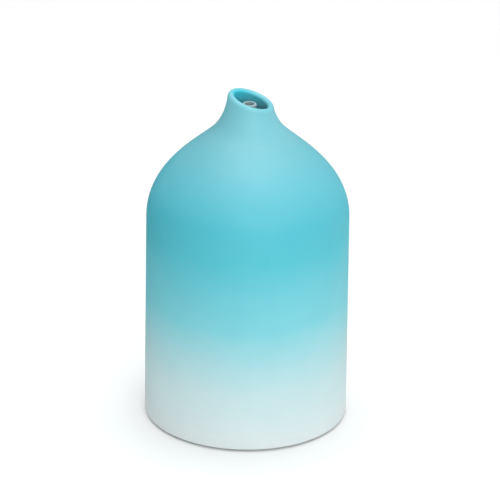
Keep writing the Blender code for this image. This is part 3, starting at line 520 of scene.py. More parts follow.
def block(low, high, round_edges=0.2, segments=2):
    """Box between two corners in millimetres, with rounded edges."""
    builder = bmesh.new()
    outline = rectangle(low[0], low[1], high[0], high[1])
    bottom = [builder.verts.new((x * MM, y * MM, low[2] * MM)) for x, y in outline]
    top = [builder.verts.new((x * MM, y * MM, high[2] * MM)) for x, y in outline]
    builder.faces.new(list(reversed(bottom)))
    builder.faces.new(top)
    for step in range(4):
        after = (step + 1) % 4
        builder.faces.new((bottom[step], bottom[after], top[after], top[step]))
    if round_edges:
        bmesh.ops.bevel(builder, geom=list(builder.edges), offset=round_edges * MM, segments=segments,
                        affect="EDGES", profile=0.5)
    return mesh_from("block", builder)


def merged(name, *layers):
    """One mesh of several: each layer is (list of meshes, material index)."""
    builder = bmesh.new()
    for meshes, index in layers:
        for mesh in meshes:
            first = len(builder.faces)
            builder.from_mesh(mesh)
            builder.faces.ensure_lookup_table()
            for face in builder.faces[first:]:
                face.material_index = index
            bpy.data.meshes.remove(mesh)
    mesh = bpy.data.meshes.new(name)
    builder.to_mesh(mesh)
    builder.free()
    return mesh


def moved(mesh, place=(0, 0, 0), turn=None):
    """Turn a mesh about the origin, then shift it by millimetres."""
    mesh.transform(Matrix.Translation(Vector(place) * MM) @ (turn or Matrix.Identity(4)))
    return mesh


def smooth_route(points, steps):
    """Catmull-Rom curve through the given points."""
    knots = [Vector(point) for point in points]
    knots = [knots[0] * 2 - knots[1]] + knots + [knots[-1] * 2 - knots[-2]]
    route = []
    for index in range(1, len(knots) - 2):
        before, start, end, after = knots[index - 1:index + 3]
        for step in range(steps):
            t = step / steps
            route.append(0.5 * (2 * start + (end - before) * t
                                + (2 * before - 5 * start + 4 * end - after) * t ** 2
                                + (3 * start - before - 3 * end + after) * t ** 3))
    route.append(knots[-2])
    return route


def frames_along(route):
    """Position and two side directions at each point of a route, turning as little as possible."""
    side = (route[1] - route[0]).orthogonal().normalized()
    for index, point in enumerate(route):
        ahead = route[min(index + 1, len(route) - 1)] - route[max(index - 1, 0)]
        ahead.normalize()
        side = (side - ahead * side.dot(ahead)).normalized()
        yield point, side, ahead.cross(side)


def tube(name, route, radius, sides=10):
    """Round wire along a route of points in millimetres, closed at both ends."""
    builder = bmesh.new()
    rings = []
    for point, side, other in frames_along(route):
        ring = []
        for step in range(sides):
            angle = 2 * math.pi * step / sides
            ring.append(builder.verts.new((point + side * math.cos(angle) * radius
                                           + other * math.sin(angle) * radius) * MM))
        rings.append(ring)
    for ring, following in zip(rings, rings[1:]):
        for step in range(sides):
            after = (step + 1) % sides
            builder.faces.new((ring[step], ring[after], following[after], following[step]))
    builder.faces.new(list(reversed(rings[0])))
    builder.faces.new(rings[-1])
    return mesh_from(name, builder)


# ---------------------------------------------------------------- cover, lid and nozzle

COVER_WALL = 4.0
SHOULDER_RADIUS = 49.6
SHOULDER_Z = 104.4
NECK_BASE = (19.9, 147.5)
NECK_CURVE = (NECK_BASE, (16.3, 150.5), (11.0, 157.2), (10.4, 169.0))
LIP_TUBE = 1.65
LIP_DROP = 1.2                 # how much lower the outer side of the rounded lip starts than its inner side
LIP_Z = 164.1
MOUTH_SLOPE = math.tan(math.radians(18.0))


def neck_share_at(height):
    """How far along the neck's curve its height reaches the given one."""
    low, high = 0.0, 1.0
    for _ in range(30):
        half = (low + high) / 2
        if on_curve(NECK_CURVE, half)[1] < height:
            low = half
        else:
            high = half
    return low


def cover_section(angle):
    """Outline of the cover's wall at one angle: the neck ends where the slanted mouth cuts it."""
    lip_centre = NECK_CURVE[-1][0] - LIP_TUBE
    for _ in range(6):
        lip_z = LIP_Z - MOUTH_SLOPE * lip_centre * math.cos(angle)
        share = neck_share_at(lip_z - LIP_DROP)
        lip_centre = on_curve(NECK_CURVE, share)[0] - LIP_TUBE
    low, high = box_mm("ceramic_cover")
    foot = high.x
    inner = SHOULDER_RADIUS - COVER_WALL
    bore = lip_centre - LIP_TUBE
    seat_z = low.z + 1.0
    skirt = box_mm("bottom_cover")[1].x + 0.3
    rim = arc((foot - COVER_WALL + 1.0, seat_z + 1.0), 1.0, 180, 270, 6)
    rim += arc((skirt - 0.3, seat_z - 0.3), 0.3, 90, 0, 4) + arc((skirt + 0.5, low.z + 0.5), 0.5, 180, 270, 6)
    rim += arc((foot - 0.8, low.z + 0.8), 0.8, 270, 360, 8)
    outside = straight(rim[-1], (foot, 25), 6) + straight((foot, 25), (SHOULDER_RADIUS + 0.15, 70), 8)
    outside += straight((SHOULDER_RADIUS + 0.15, 70), (SHOULDER_RADIUS, SHOULDER_Z), 6)
    outside += bezier((SHOULDER_RADIUS, SHOULDER_Z), (SHOULDER_RADIUS, 126.1), (29.3, 138.7), NECK_BASE, 32)
    outside += [on_curve(NECK_CURVE, share * step / 16) for step in range(1, 17)]
    lip = [(r, z if r < lip_centre else lip_z + LIP_TUBE - (lip_z + LIP_TUBE - z) * (1 + LIP_DROP / LIP_TUBE))
           for r, z in arc((lip_centre, lip_z), LIP_TUBE, 0, 180, 18)[1:]]
    inside = bezier((bore, lip_z), (bore + 0.6, lip_z - 8), (11.3, 150.2), (15.2, 144.8), 14)
    inside += bezier((15.2, 144.8), (26.4, 136.2), (inner, 124.0), (inner, SHOULDER_Z), 14)
    inside += straight((inner, SHOULDER_Z), (inner, 30), 8)
    return rim + outside + lip + inside


def make_ceramic_cover():
    mesh = lofted("cover", [cover_section(2 * math.pi * step / FINE) for step in range(FINE)])
    arch = rounded_rectangle(22.0, 22.0, 7.0, 10)
    mesh = shape(mesh, [("DIFFERENCE", prism("arch", [arch], -60, -30, FACING_REAR))], bevel=0.9, segments=3)
    stand_in("ceramic_cover", mesh, ombre_ceramic())


def make_nozzle():
    """Soft tip: a sleeve over the chimney with a grip bead, a cone and a short straight tube."""
    low, high = box_mm("mist_nozzle")
    sleeve = high.x
    tip = 3.3
    profile = [(5.6, low.z), (sleeve - 0.4, low.z), (sleeve - 0.4, low.z + 2.0), (sleeve, low.z + 2.6),
               (sleeve - 0.4, low.z + 3.2), (sleeve - 0.4, 150.5), (tip + 0.4, 154.0), (tip, high.z - 1.6),
               (tip + 0.25, high.z - 0.9), (tip, high.z), (tip - 0.9, high.z), (tip - 0.9, 153.0),
               (3.9, 150.1), (5.6, 150.0)]
    stand_in("mist_nozzle", turned("nozzle", filleted(profile, 0.45), MEDIUM), "nozzle")


def make_chimney():
    low, high = box_mm("mist_chimney")
    profile = [(3.9, low.z), (6.3, low.z), (6.3, 132.3), (high.x, 132.3), (high.x, 133.5), (5.7, 135.0),
               (5.3, high.z), (3.9, high.z)]
    stand_in("mist_chimney", turned("chimney", filleted(profile, 0.35), MEDIUM), "clear")


def make_lid():
    """Domed lid with a stepped skirt and a moulded ring on the dome."""
    low, high = box_mm("splash_cover")
    rim = high.x
    wall = 1.6
    seat = 86.8
    skirt = (36.0, 37.6)
    dome = bezier((rim, seat + 2), (rim, 110), (20, 117), (8.2, 124.0), 40)
    inner = bezier((6.6, 122), (18, 114.6), (rim - wall, 108.4), (rim - wall, seat + 4), 30, skip_first=False)
    ring = [(r, z + 0.5) if 25.0 < r < 28.0 else (r, z) for r, z in dome]
    profile = [(skirt[0], low.z), (skirt[1], low.z), (skirt[1], seat), (rim, seat), (rim, seat + 2)]
    profile += ring + [(8.2, high.z), (6.6, high.z)] + inner + [(skirt[0], seat + 2)]
    mesh = turned("lid", filleted(profile, 0.3, 2), FINE)
    stand_in("splash_cover", mesh, "clear")


# ---------------------------------------------------------------- base and rear panel

def slot_outline(x, y, half_length, half_width):
    """Slot with round ends that runs along Y."""
    reach = half_length - half_width
    return arc((x, y + reach), half_width, 0, 180, 8) + arc((x, y - reach), half_width, 180, 360, 8)


def circles(radius, sides, nodes):
    """One circle round the centre of each node."""
    return [circle(radius, sides, middle(node)) for node in nodes]


FEET = [f"foot_pad_{number}" for number in range(1, 5)]
CASE_SCREWS = [f"case_screw_{number}" for number in range(1, 5)]
CLAMP_SCREWS = [f"clamp_screw_{number}" for number in range(1, 4)]
FAN_SCREWS = ["fan_screw_1", "fan_screw_2"]
BOARD_SCREWS = ["board_screw_1", "board_screw_2"]


def make_bottom_plate():
    """Plate with a flange for the cover, a shallow groove, recesses for the feet and an air grille."""
    low, high = box_mm("bottom_cover")
    edge = high.x
    step = 44.4
    profile = [(0, low.z), (34, low.z), (34.6, low.z + 0.3), (35.2, low.z), (edge - 0.4, low.z),
               (edge, low.z + 0.4), (edge, low.z + 1.0), (step, low.z + 1.0), (step, high.z), (0, high.z)]
    fan_x, fan_y = middle("fan_frame")
    pitch = 4.4
    grille_radius = 16.0
    slots = []
    for place in range(-3, 4):
        half_length = math.sqrt(grille_radius ** 2 - (place * pitch) ** 2)
        slots.append(slot_outline(fan_x + place * pitch, fan_y, half_length, 1.1))
    changes = [
        ("DIFFERENCE", prism("recess", circles(5.3, SMALL, FEET), 0, 1.5)),
        ("DIFFERENCE", prism("grille", slots, -1, 5)),
        ("DIFFERENCE", prism("hole", circles(1.6, TINY, CASE_SCREWS), -1, 5)),
        ("DIFFERENCE", prism("counterbore", circles(3.2, SMALL, CASE_SCREWS), 0, 2.3)),
    ]
    mesh = shape(turned("plate", filleted(profile, 0.3, 3), FINE), changes, bevel=0.18)
    stand_in("bottom_cover", mesh, "white")


def make_feet():
    for node in FEET:
        low, high = box_mm(node)
        radius = (high.x - low.x) / 2
        profile = [(0, 0.35), (1.6, 0.35), (1.9, 0), (radius - 0.7, 0), (radius, 0.6), (radius, high.z),
                   (0, high.z)]
        stand_in(node, turned(node, filleted(profile, 0.25), SMALL, middle(node)), "rubber")


def bar(centre, away, side, near, far):
    """Outline of a straight rib that runs outward from near to far, with its half width given as a vector."""
    start = Vector(centre) + away * near
    end = Vector(centre) + away * far
    return [tuple(start + side), tuple(start - side), tuple(end - side), tuple(end + side)]


def make_housing():
    """Thin-walled tube with screw bosses on ribs, a panel window, a moulded bead and inside ribs."""
    low, high = box_mm("base_shell")
    foot = high.x
    top = 43.2
    wall = 2.0
    profile = [(foot - wall, low.z), (foot, low.z), (foot - 0.14, low.z + 9), (foot + 0.1, low.z + 20),
               (foot - 0.45, low.z + 20.8), (top, high.z), (top - wall, high.z)]
    ribs = []
    for node in CASE_SCREWS:
        spot = middle(node)
        away = Vector(spot).normalized()
        side = Vector((-away.y, away.x))
        ribs.append(bar((0, 0), away, side * 1.2, Vector(spot).length, foot - 1.0))
    inside_ribs = []
    for place in range(12):
        away = Vector((math.cos(math.radians(15 + 30 * place)), math.sin(math.radians(15 + 30 * place))))
        side = Vector((-away.y, away.x)) * 0.5
        if away.y < 0.75:
            inside_ribs.append(bar((0, 0), away, side, 40.6, 42.0))
    panel_low, panel_high = box_mm("rear_panel")
    window = rectangle(panel_low.x - 0.3, 34, panel_high.x + 0.3, 50)
    changes = [
        ("UNION", prism("boss_rib", ribs, low.z, 15)),
        ("UNION", prism("boss", circles(3.4, SMALL, CASE_SCREWS), low.z, 16)),
        ("UNION", prism("inside_rib", inside_ribs, 34, 80)),
        ("DIFFERENCE", prism("pilot", circles(1.6, TINY, CASE_SCREWS), 2, 13)),
        ("DIFFERENCE", prism("window", [window], 0, panel_high.z + 0.3)),
    ]
    mesh = shape(turned("housing", filleted(profile, 0.3, 2), FINE), changes, bevel=0.25)
    stand_in("base_shell", mesh, "white")


def raised_dot(radius, height, place):
    """Low round bump on a face that looks out of the rear."""
    profile = arc((0, 0), 1.0, 0, 90, 6)
    outline = [(r * radius, z * height) for r, z in profile[:-1]] + [(0, height), (0, -0.3), (radius, -0.3)]
    return moved(turned("dot", outline, TINY), place, OUT_OF_REAR)


def make_rear_panel():
    """Panel with rounded corners, a shallow ring round each hole and bumps that tell the buttons apart."""
    low, high = box_mm("rear_panel")
    control_z = middle_z("mist_button")
    centres = [(middle("mist_button")[0], control_z), (0, control_z), (middle("light_button")[0], control_z)]
    outline = rounded_rectangle(high.x, (high.z - low.z) / 2, 1.2, 6, (0, (low.z + high.z) / 2))
    grooves = []
    for x, z in centres:
        ring = turned("groove", [(5.3, -0.25), (5.9, -0.25), (5.9, 1), (5.3, 1)], MEDIUM)
        grooves.append(("DIFFERENCE", moved(ring, (x, high.y, z), OUT_OF_REAR)))
    holes = prism("holes", [circle(4.4, MEDIUM, centre) for centre in centres], -50, -30, FACING_REAR)
    plate = prism("panel", [outline], -high.y, -low.y, FACING_REAR)
    mesh = shape(plate, [("DIFFERENCE", holes)] + grooves, bevel=0.2)
    dots = [raised_dot(0.45, 0.3, (centres[0][0] + x, high.y, control_z - 6.9)) for x in (-1.5, 0, 1.5)]
    dots += [raised_dot(0.45, 0.3, (centres[2][0], high.y, control_z - 6.9))]
    stand_in("rear_panel", merged("panel", ([mesh] + dots, 0)), "grey")


def middle_z(node):
    low, high = box_mm(node)
    return (low.z + high.z) / 2


def make_buttons():
    """Key caps with a finger dish, a retaining flange and a stem."""
    panel_face = box_mm("rear_panel")[1].y
    for node in ("mist_button", "light_button"):
        low, high = box_mm(node)
        tip = high.y - panel_face
        stem = [(0, -3.7), (1.5, -3.7), (1.5, -3.2), (5.2, -3.2), (5.2, -2.4), (4.0, -2.4)]
        cap = [(4.0, tip - 0.5), (3.7, tip - 0.1), (3.3, tip)]
        dish = [(2.6, tip - 0.12), (1.4, tip - 0.36), (0, tip - 0.45)]
        mesh = moved(turned(node, filleted(stem + cap + dish, 0.25, 3), MEDIUM),
                     ((low.x + high.x) / 2, panel_face, middle_z(node)), OUT_OF_REAR)
        stand_in(node, mesh, "white")


# ---------------------------------------------------------------- tank and transducer

def make_tank():
    """Basin with a filling line, a rolled rim, an air duct with a lip, and a seat for the transducer."""
    low, high = box_mm("tank_basin")
    floor = 44.0
    wall = 2.0
    mouth = 38.5
    fill_line = 73.0
    outside = [(0, floor - wall), (36.5, floor - wall), (38.5, floor + 1), (40.5, 80), (40.5, 84.6),
               (high.x, 84.6), (high.x, high.z), (mouth, high.z)]
    inside = [(mouth, fill_line + 0.5), (mouth - 0.4, fill_line), (mouth - 0.4, fill_line - 0.6),
              (mouth - 0.1, fill_line - 1.1)]
    inside += arc((32.5, floor + 4), 4.0, 0, -90, 12)
    profile = filleted(outside, 0.4, 3)[:-4] + [(mouth + 0.4, high.z), (mouth, high.z - 0.4)]
    basin = turned("basin", profile + inside + [(0, floor)], FINE)
    duct = middle("air_funnel")
    disc = middle("transducer_disc")
    probe = middle("level_probe")
    duct_profile = [(0, low.z), (7.1, low.z), (7.1, 79.2), (6.7, 80.0), (0, 80.0)]
    changes = [
        ("UNION", turned("duct", duct_profile, MEDIUM, duct)),
        ("UNION", turned("seat", [(0, 38.7), (13.5, 38.7), (13.5, floor - 1), (0, floor - 1)], MEDIUM, disc)),
        ("UNION", prism("boss", circles(3.0, TINY, CLAMP_SCREWS), 39.2, floor - 1.2)),
        ("DIFFERENCE", prism("through", [circle(5.6, MEDIUM, duct), circle(8.0, MEDIUM, disc),
                                         circle(3.6, SMALL, probe)], 30, 90)),
        ("DIFFERENCE", prism("pocket", [circle(10.7, MEDIUM, disc)] + circles(1.4, TINY, CLAMP_SCREWS),
                             35, 42.5)),
    ]
    stand_in("tank_basin", shape(basin, changes, bevel=0.2), "clear")


def make_seals():
    low, high = box_mm("tank_seal")
    lips = [(41.4, low.z), (42.9, low.z), (42.9, high.z), (42.4, high.z), (42.15, high.z - 0.15),
            (41.9, high.z), (41.4, high.z)]
    stand_in("tank_seal", turned("tank_seal", filleted(lips, 0.2, 3), FINE), "seal")
    low, high = box_mm("transducer_seal")
    ring = filleted([(8.2, low.z), (10.3, low.z), (10.3, high.z), (8.2, high.z)], 0.35)
    stand_in("transducer_seal", turned("transducer_seal", ring, MEDIUM, middle("transducer_seal")), "seal")
    low, high = box_mm("level_probe_seal")
    grommet = [(1.7, low.z), (4.6, low.z), (4.6, low.z + 0.7), (3.3, low.z + 0.7), (3.3, high.z - 0.7),
               (4.6, high.z - 0.7), (4.1, high.z), (1.7, high.z)]
    mesh = turned("level_probe_seal", filleted(grommet, 0.2, 3), SMALL, middle("level_probe_seal"))
    stand_in("level_probe_seal", mesh, "seal")


def make_air_funnel():
    low, high = box_mm("air_funnel")
    rim = high.x - middle("air_funnel")[0]
    profile = [(7.4, high.z), (7.4, 38), (rim - 1.3, low.z), (rim, low.z), (rim, low.z + 0.6), (8.9, 39),
               (8.9, high.z)]
    mesh = turned("air_funnel", filleted(profile, 0.35), MEDIUM, middle("air_funnel"))
    stand_in("air_funnel", mesh, "white")


def make_transducer():
    """Brass plate with a silvered ceramic disc under it, and the clamp that presses it to the tank."""
    centre = middle("transducer_disc")
    low, high = box_mm("transducer_disc")
    radius = high.x - centre[0]
    plate = [(0, low.z + 0.35), (radius, low.z + 0.35), (radius, high.z - 0.1), (radius - 0.3, high.z),
             (6.4, high.z), (6.1, high.z - 0.12), (0, high.z - 0.12)]
    ceramic = [(0, low.z), (6.6, low.z), (6.8, low.z + 0.12), (6.8, low.z + 0.37), (0, low.z + 0.37)]
    mesh = merged("transducer_disc", ([turned("plate", plate, MEDIUM, centre)], 0),
                  ([turned("ceramic", ceramic, MEDIUM, centre)], 1))
    stand_in("transducer_disc", mesh, "brass", "silver")

    low, high = box_mm("transducer_clamp")
    top = low.z + 1.8
    ring = [(6.0, low.z), (13.4, low.z), (13.4, top), (9.8, top), (9.8, high.z), (8.2, high.z), (8.2, top),
            (6.0, top)]
    spokes = []
    for place in range(6):
        away = Vector((math.cos(math.radians(60 * place)), math.sin(math.radians(60 * place))))
        side = Vector((-away.y, away.x)) * 0.45
        spokes.append(bar(centre, away, side, 10.2, 12.8))
    changes = [
        ("UNION", prism("ear", circles(3.4, SMALL, CLAMP_SCREWS), low.z, top)),
        ("DIFFERENCE", prism("hole", circles(1.5, TINY, CLAMP_SCREWS), 30, 41)),
        ("DIFFERENCE", prism("relief", spokes, 30, low.z + 0.6)),
    ]
    stand_in("transducer_clamp", shape(turned("clamp", ring, MEDIUM, centre), changes, bevel=0.2), "white")


def make_probe():
    low, high = box_mm("level_probe")
    pin = [(0, low.z), (1.0, low.z), (1.4, low.z + 0.4), (1.4, low.z + 3.0), (1.25, low.z + 3.2),
           (1.25, low.z + 3.6), (1.4, low.z + 3.8), (1.4, high.z - 1.0), (0.8, high.z - 0.15), (0, high.z)]
    mesh = turned("level_probe", filleted(pin, 0.15, 2), SMALL, middle("level_probe"))
    stand_in("level_probe", mesh, "steel")


# ---------------------------------------------------------------- screws

def make_screws():
    """Pan-head screws: domed head, cross recess, ringed thread and a point."""
    for nodes, head_height, head_up in ((CASE_SCREWS, 1.0, False), (CLAMP_SCREWS, 1.3, False),
                                        (FAN_SCREWS, 1.4, True), (BOARD_SCREWS, 1.3, True)):
        for node in nodes:
            low, high = box_mm(node)
            stand_in(node, screw_mesh(node, low, high, head_height, head_up), "steel")


def screw_mesh(name, low, high, head_height, head_up):
    """Made with the head up and its seat at zero, then turned over where the head points down."""
    head = (high.x - low.x) / 2
    shank = 1.05
    length = high.z - low.z - head_height
    dome = [(head * math.cos(math.radians(a)), head_height * (0.35 + 0.65 * math.sin(math.radians(a))))
            for a in range(0, 90, 15)]
    thread = []
    pitch = 0.9
    turns = int((length - 1.6) / pitch)
    for turn in range(turns):
        z = -length + 1.5 + turn * pitch
        thread += [(shank - 0.25, z), (shank + 0.08, z + pitch * 0.35), (shank - 0.25, z + pitch * 0.7)]
    profile = [(0, -length), (shank - 0.25, -length + 1.2)] + thread + [(shank, -0.5), (shank, 0), (head, 0)]
    profile += dome + [(0, head_height)]
    reach = head * 0.55
    arms = [rectangle(-reach, -0.28, reach, 0.28), rectangle(-0.28, -reach, 0.28, reach)]
    recess = [("DIFFERENCE", prism("arm", [arm], head_height * 0.35, head_height + 1)) for arm in arms]
    mesh = shape(turned(name, profile, SMALL), recess)
    centre = ((low.x + high.x) / 2, (low.y + high.y) / 2)
    seat = high.z - head_height if head_up else low.z + head_height
    return moved(mesh, (*centre, seat), None if head_up else Matrix.Rotation(math.pi, 4, "X"))


# ---------------------------------------------------------------- fan

def make_fan_frame():
    """Two square flanges joined by a round barrel with a flared mouth, and a motor seat on three arms."""
    low, high = box_mm("fan_frame")
    centre = middle("fan_frame")
    half = high.x
    bore = 18.9
    outline = [(x + centre[0], y + centre[1]) for x, y in rounded_rectangle(half, half, 3.0, 8)]
    body = prism("frame", [outline], low.z, high.z)
    mouth = [(0, low.z - 1), (bore, low.z - 1), (bore, high.z - 1.4), (bore + 0.15, high.z - 0.9),
             (bore + 0.7, high.z - 0.2), (bore + 1.0, high.z + 1), (0, high.z + 1)]
    band = prism("band", [rectangle(centre[0] - 30, centre[1] - 30, centre[0] + 30, centre[1] + 30)],
                 low.z + 1.8, high.z - 1.8)
    outside = bore + 1.05
    barrel = turned("barrel", [(0, low.z), (outside, low.z), (outside, high.z), (0, high.z)], FINE, centre)
    corners = shape(band, [("DIFFERENCE", barrel)])
    arms = []
    for step in range(3):
        turn = Matrix.Rotation(math.radians(90 + 120 * step), 2)
        corners_of_arm = rectangle(5.0, -1.3, 19.3, 1.3)
        arms.append([tuple(turn @ Vector(corner) + Vector(centre)) for corner in corners_of_arm])
    seat = [(0, low.z), (9.0, low.z), (9.0, low.z + 0.8), (8.6, low.z + 1.2), (0, low.z + 1.2)]
    changes = [
        ("DIFFERENCE", turned("mouth", mouth, FINE, centre)),
        ("DIFFERENCE", corners),
        ("UNION", turned("seat", seat, MEDIUM, centre)),
        ("UNION", prism("arm", arms, low.z, low.z + 1.2)),
        ("DIFFERENCE", prism("hole", [circle(1.7, TINY, spot) for spot in fan_corners(centre, half)], 0, 20)),
    ]
    stand_in("fan_frame", shape(body, changes, bevel=0.15), "black")


def fan_corners(centre, half):
    reach = half - 3.6
    return [(centre[0] + x * reach, centre[1] + y * reach) for x, y in ((1, 1), (-1, 1), (-1, -1), (1, -1))]


def make_fan_motor():
    """Four wound poles on a laminated core, round a sintered bearing."""
    low, high = box_mm("fan_stator")
    centre = middle("fan_stator")
    core = []
    for pole in range(4):
        half = [(2.9, 40), (2.9, 22), (4.9, 12), (6.1, 38), (6.1, 26), (6.1, 12)]
        other_half = [(6.1, 12), (6.1, 26), (6.1, 38), (4.9, 12), (2.9, 22), (2.9, 40)]
        for reach, offset in [(r, -degrees) for r, degrees in half] + [(6.1, 0)] + other_half:
            angle = math.radians(90 * pole + offset)
            core.append((reach * math.cos(angle), reach * math.sin(angle)))
    layers = []
    for layer in range(5):
        z = low.z + 1.2 + layer * 0.55
        outline = [(x + centre[0], y + centre[1]) for x, y in core]
        plate = prism("lamination", [outline], z, z + 0.5)
        bore = turned("bore", [(0, 0), (2.5, 0), (2.5, 20), (0, 20)], SMALL, centre)
        layers.append(shape(plate, [("DIFFERENCE", bore)]))
    coils = []
    for pole in range(4):
        coil = block((2.9, -1.9, low.z), (4.6, 1.9, high.z - 0.4), 0.6, 4)
        turn = Matrix.Rotation(math.radians(90 * pole), 4, "Z")
        coils.append(moved(coil, (*centre, 0), turn))
    stand_in("fan_stator", merged("stator", (coils, 0), (layers, 1)), "copper", "steel")
    low, high = box_mm("fan_bearing")
    sleeve = filleted([(1.3, low.z), (2.2, low.z), (2.2, high.z), (1.3, high.z)], 0.2, 3)
    stand_in("fan_bearing", turned("fan_bearing", sleeve, SMALL, centre), "brass")


def blade(number, count):
    """One pitched, swept blade with a rounded edge, as a closed skin between two curved faces."""
    columns = 10
    rows = 12
    inner, outer = 8.6, 18.05
    builder = bmesh.new()
    start = 2 * math.pi * number / count
    skins = ([], [])
    for column in range(columns + 1):
        along = column / columns
        radius = inner + (outer - inner) * along
        chord = math.radians(36 + 4 * along)
        sweep = math.radians(9) * along * along
        for row in range(rows + 1):
            t = row / rows
            z = 6.3 + 1.6 * t + 4.4 * t * t
            half = 0.08 + 0.34 * math.sqrt(max(0.0, math.sin(math.pi * t)))
            angle = start + sweep + chord * (t - 0.5)
            for skin, side in zip(skins, (-1, 1)):
                skin.append(builder.verts.new((radius * math.cos(angle) * MM, radius * math.sin(angle) * MM,
                                               (z + side * half) * MM)))
    step = rows + 1
    for skin in skins:
        for column in range(columns):
            for row in range(rows):
                a = column * step + row
                builder.faces.new((skin[a], skin[a + 1], skin[a + step + 1], skin[a + step]))
    border = [(c * step, (c + 1) * step) for c in range(columns)]
    border += [(columns * step + r, columns * step + r + 1) for r in range(rows)]
    border += [((c + 1) * step + rows, c * step + rows) for c in reversed(range(columns))]
    border += [(r + 1, r) for r in reversed(range(rows))]
    for first, second in border:
        builder.faces.new((skins[0][first], skins[0][second], skins[1][second], skins[1][first]))
    return mesh_from("blade", builder, 60)


def make_fan_rotor():
    """Wheel with a grooved hub and seven blades, the magnet ring inside it and the grooved shaft."""
    centre = middle("fan_magnet")
    hub = [(0, 11.8), (8.0, 11.8), (8.0, 6.0), (9.0, 6.0), (9.0, 12.5), (8.3, 13.2), (5.6, 13.2), (5.3, 13.0),
           (2.2, 13.0), (1.9, 13.2), (0, 13.2)]
    blades = [blade(number, 7) for number in range(7)]
    wheel = merged("impeller", ([turned("hub", filleted(hub, 0.3), MEDIUM)] + blades, 0))
    stand_in("fan_impeller", moved(wheel, (*centre, 0)), "black")
    low, high = box_mm("fan_magnet")
    ring = filleted([(6.6, low.z), (7.7, low.z), (7.7, high.z), (6.6, high.z)], 0.3, 3)
    stand_in("fan_magnet", turned("fan_magnet", ring, MEDIUM, centre), "magnet")
    low, high = box_mm("fan_shaft")
    pin = [(0, low.z), (0.9, low.z), (1.15, low.z + 0.3), (1.15, low.z + 0.8), (0.9, low.z + 0.9),
           (0.9, low.z + 1.2), (1.15, low.z + 1.3), (1.15, high.z), (0, high.z)]
    stand_in("fan_shaft", turned("fan_shaft", filleted(pin, 0.1, 2), SMALL, centre), "steel")


# ---------------------------------------------------------------- electronics

def make_main_board():
    """Board with rounded corners, solder cones under it and a row of small chip resistors."""
    low, high = box_mm("main_board")
    corners = [(low.x, low.y), (high.x, low.y), (high.x, 26), (17, high.y), (-17, high.y), (low.x, 26)]
    holes = prism("hole", circles(1.6, TINY, BOARD_SCREWS), 0, 10)
    plate = prism("board", [filleted(corners, 1.5, 5)], low.z, high.z)
    board = shape(plate, [("DIFFERENCE", holes)], bevel=0.12)
    cones = []
    for x, y in ((-19, 20), (-17, 12), (-13, 12), (-10, 18), (-7, 22), (-3, 27), (3, 27), (0, 31),
                 (8.3, 25.5), (10.7, 25.5), (14.8, 20.5), (17.2, 20.5), (20, 17), (21, 20), (-2, 13),
                 (-13, 30), (13, 30)):
        cone = [(0, low.z + 0.05), (1.0, low.z + 0.05), (0.45, low.z - 0.35), (0.3, low.z - 0.75),
                (0, low.z - 0.8)]
        cones.append(turned("cone", cone, TINY, (x, y)))
    chips, ends = [], []
    for place in range(7):
        x = 2.2 + 2.2 * place
        chips.append(block((x, 10.6, high.z), (x + 0.8, 11.6, high.z + 0.5), 0.08))
        for y in (10.3, 11.55):
            ends.append(block((x - 0.03, y, high.z), (x + 0.83, y + 0.35, high.z + 0.53), 0.08))
    mesh = merged("main_board", ([board], 0), (cones + ends, 1), (chips, 2))
    stand_in("main_board", mesh, "board", "tin", "ferrite")


def make_dc_inlet():
    """Barrel jack: rounded body with a seam, round nose with a bore, a split centre pin and a spring leaf."""
    low, high = box_mm("dc_inlet")
    panel_low, panel_high = box_mm("rear_panel")
    centre_z = middle_z("dc_inlet")
    body = block((low.x, low.y, low.z), (high.x, panel_low.y - 0.3, high.z), 0.4, 3)
    nose = [(0, -3.0), (3.9, -3.0), (3.9, -0.15), (3.6, 0.2), (0, 0.2)]
    bore = [(0, -10.0), (2.75, -10.0), (2.75, -0.2), (3.05, 0.3), (3.05, 1.0), (0, 1.0)]
    seam = prism("seam", [rectangle(low.x - 1, 33.0, high.x + 1, 33.3)], high.z - 0.25, high.z + 1)
    place = (0, panel_high.y, centre_z)
    mesh = shape(body, [("UNION", moved(turned("nose", nose, MEDIUM), place, OUT_OF_REAR)),
                        ("DIFFERENCE", moved(turned("bore", bore, MEDIUM), place, OUT_OF_REAR)),
                        ("DIFFERENCE", seam)], bevel=0.1)
    pin = [(0, -10.2), (1.0, -10.2), (1.0, -1.1), (0.6, -0.6), (0, -0.5)]
    split = prism("split", [rectangle(-0.15, -2, 0.15, 2)], -4, 2)
    pin_mesh = moved(shape(turned("pin", pin, SMALL), [("DIFFERENCE", split)]), place, OUT_OF_REAR)
    leaf = block((-0.9, place[1] - 9.5, centre_z - 2.7), (0.9, place[1] - 1.5, centre_z - 2.3), 0.12)
    stand_in("dc_inlet", merged("dc_inlet", ([mesh], 0), ([pin_mesh, leaf], 1)), "black", "tin")


def make_heat_sink():
    """Comb-shaped extrusion: a base plate with four fins."""
    low, high = box_mm("heat_sink")
    pitch = 2.4
    fins = [(low.x, low.y)]
    for step in range(4):
        x = low.x + pitch * step
        fins += [(x, high.y), (x + 1.0, high.y), (x + 1.0, low.y + 1.2), (x + pitch, low.y + 1.2)]
    fins = fins[:-1] + [(high.x, low.y + 1.2), (high.x, low.y)]
    mesh = prism("heat_sink", [filleted(fins, 0.2, 3)], low.z, high.z)
    stand_in("heat_sink", mesh, "aluminium")


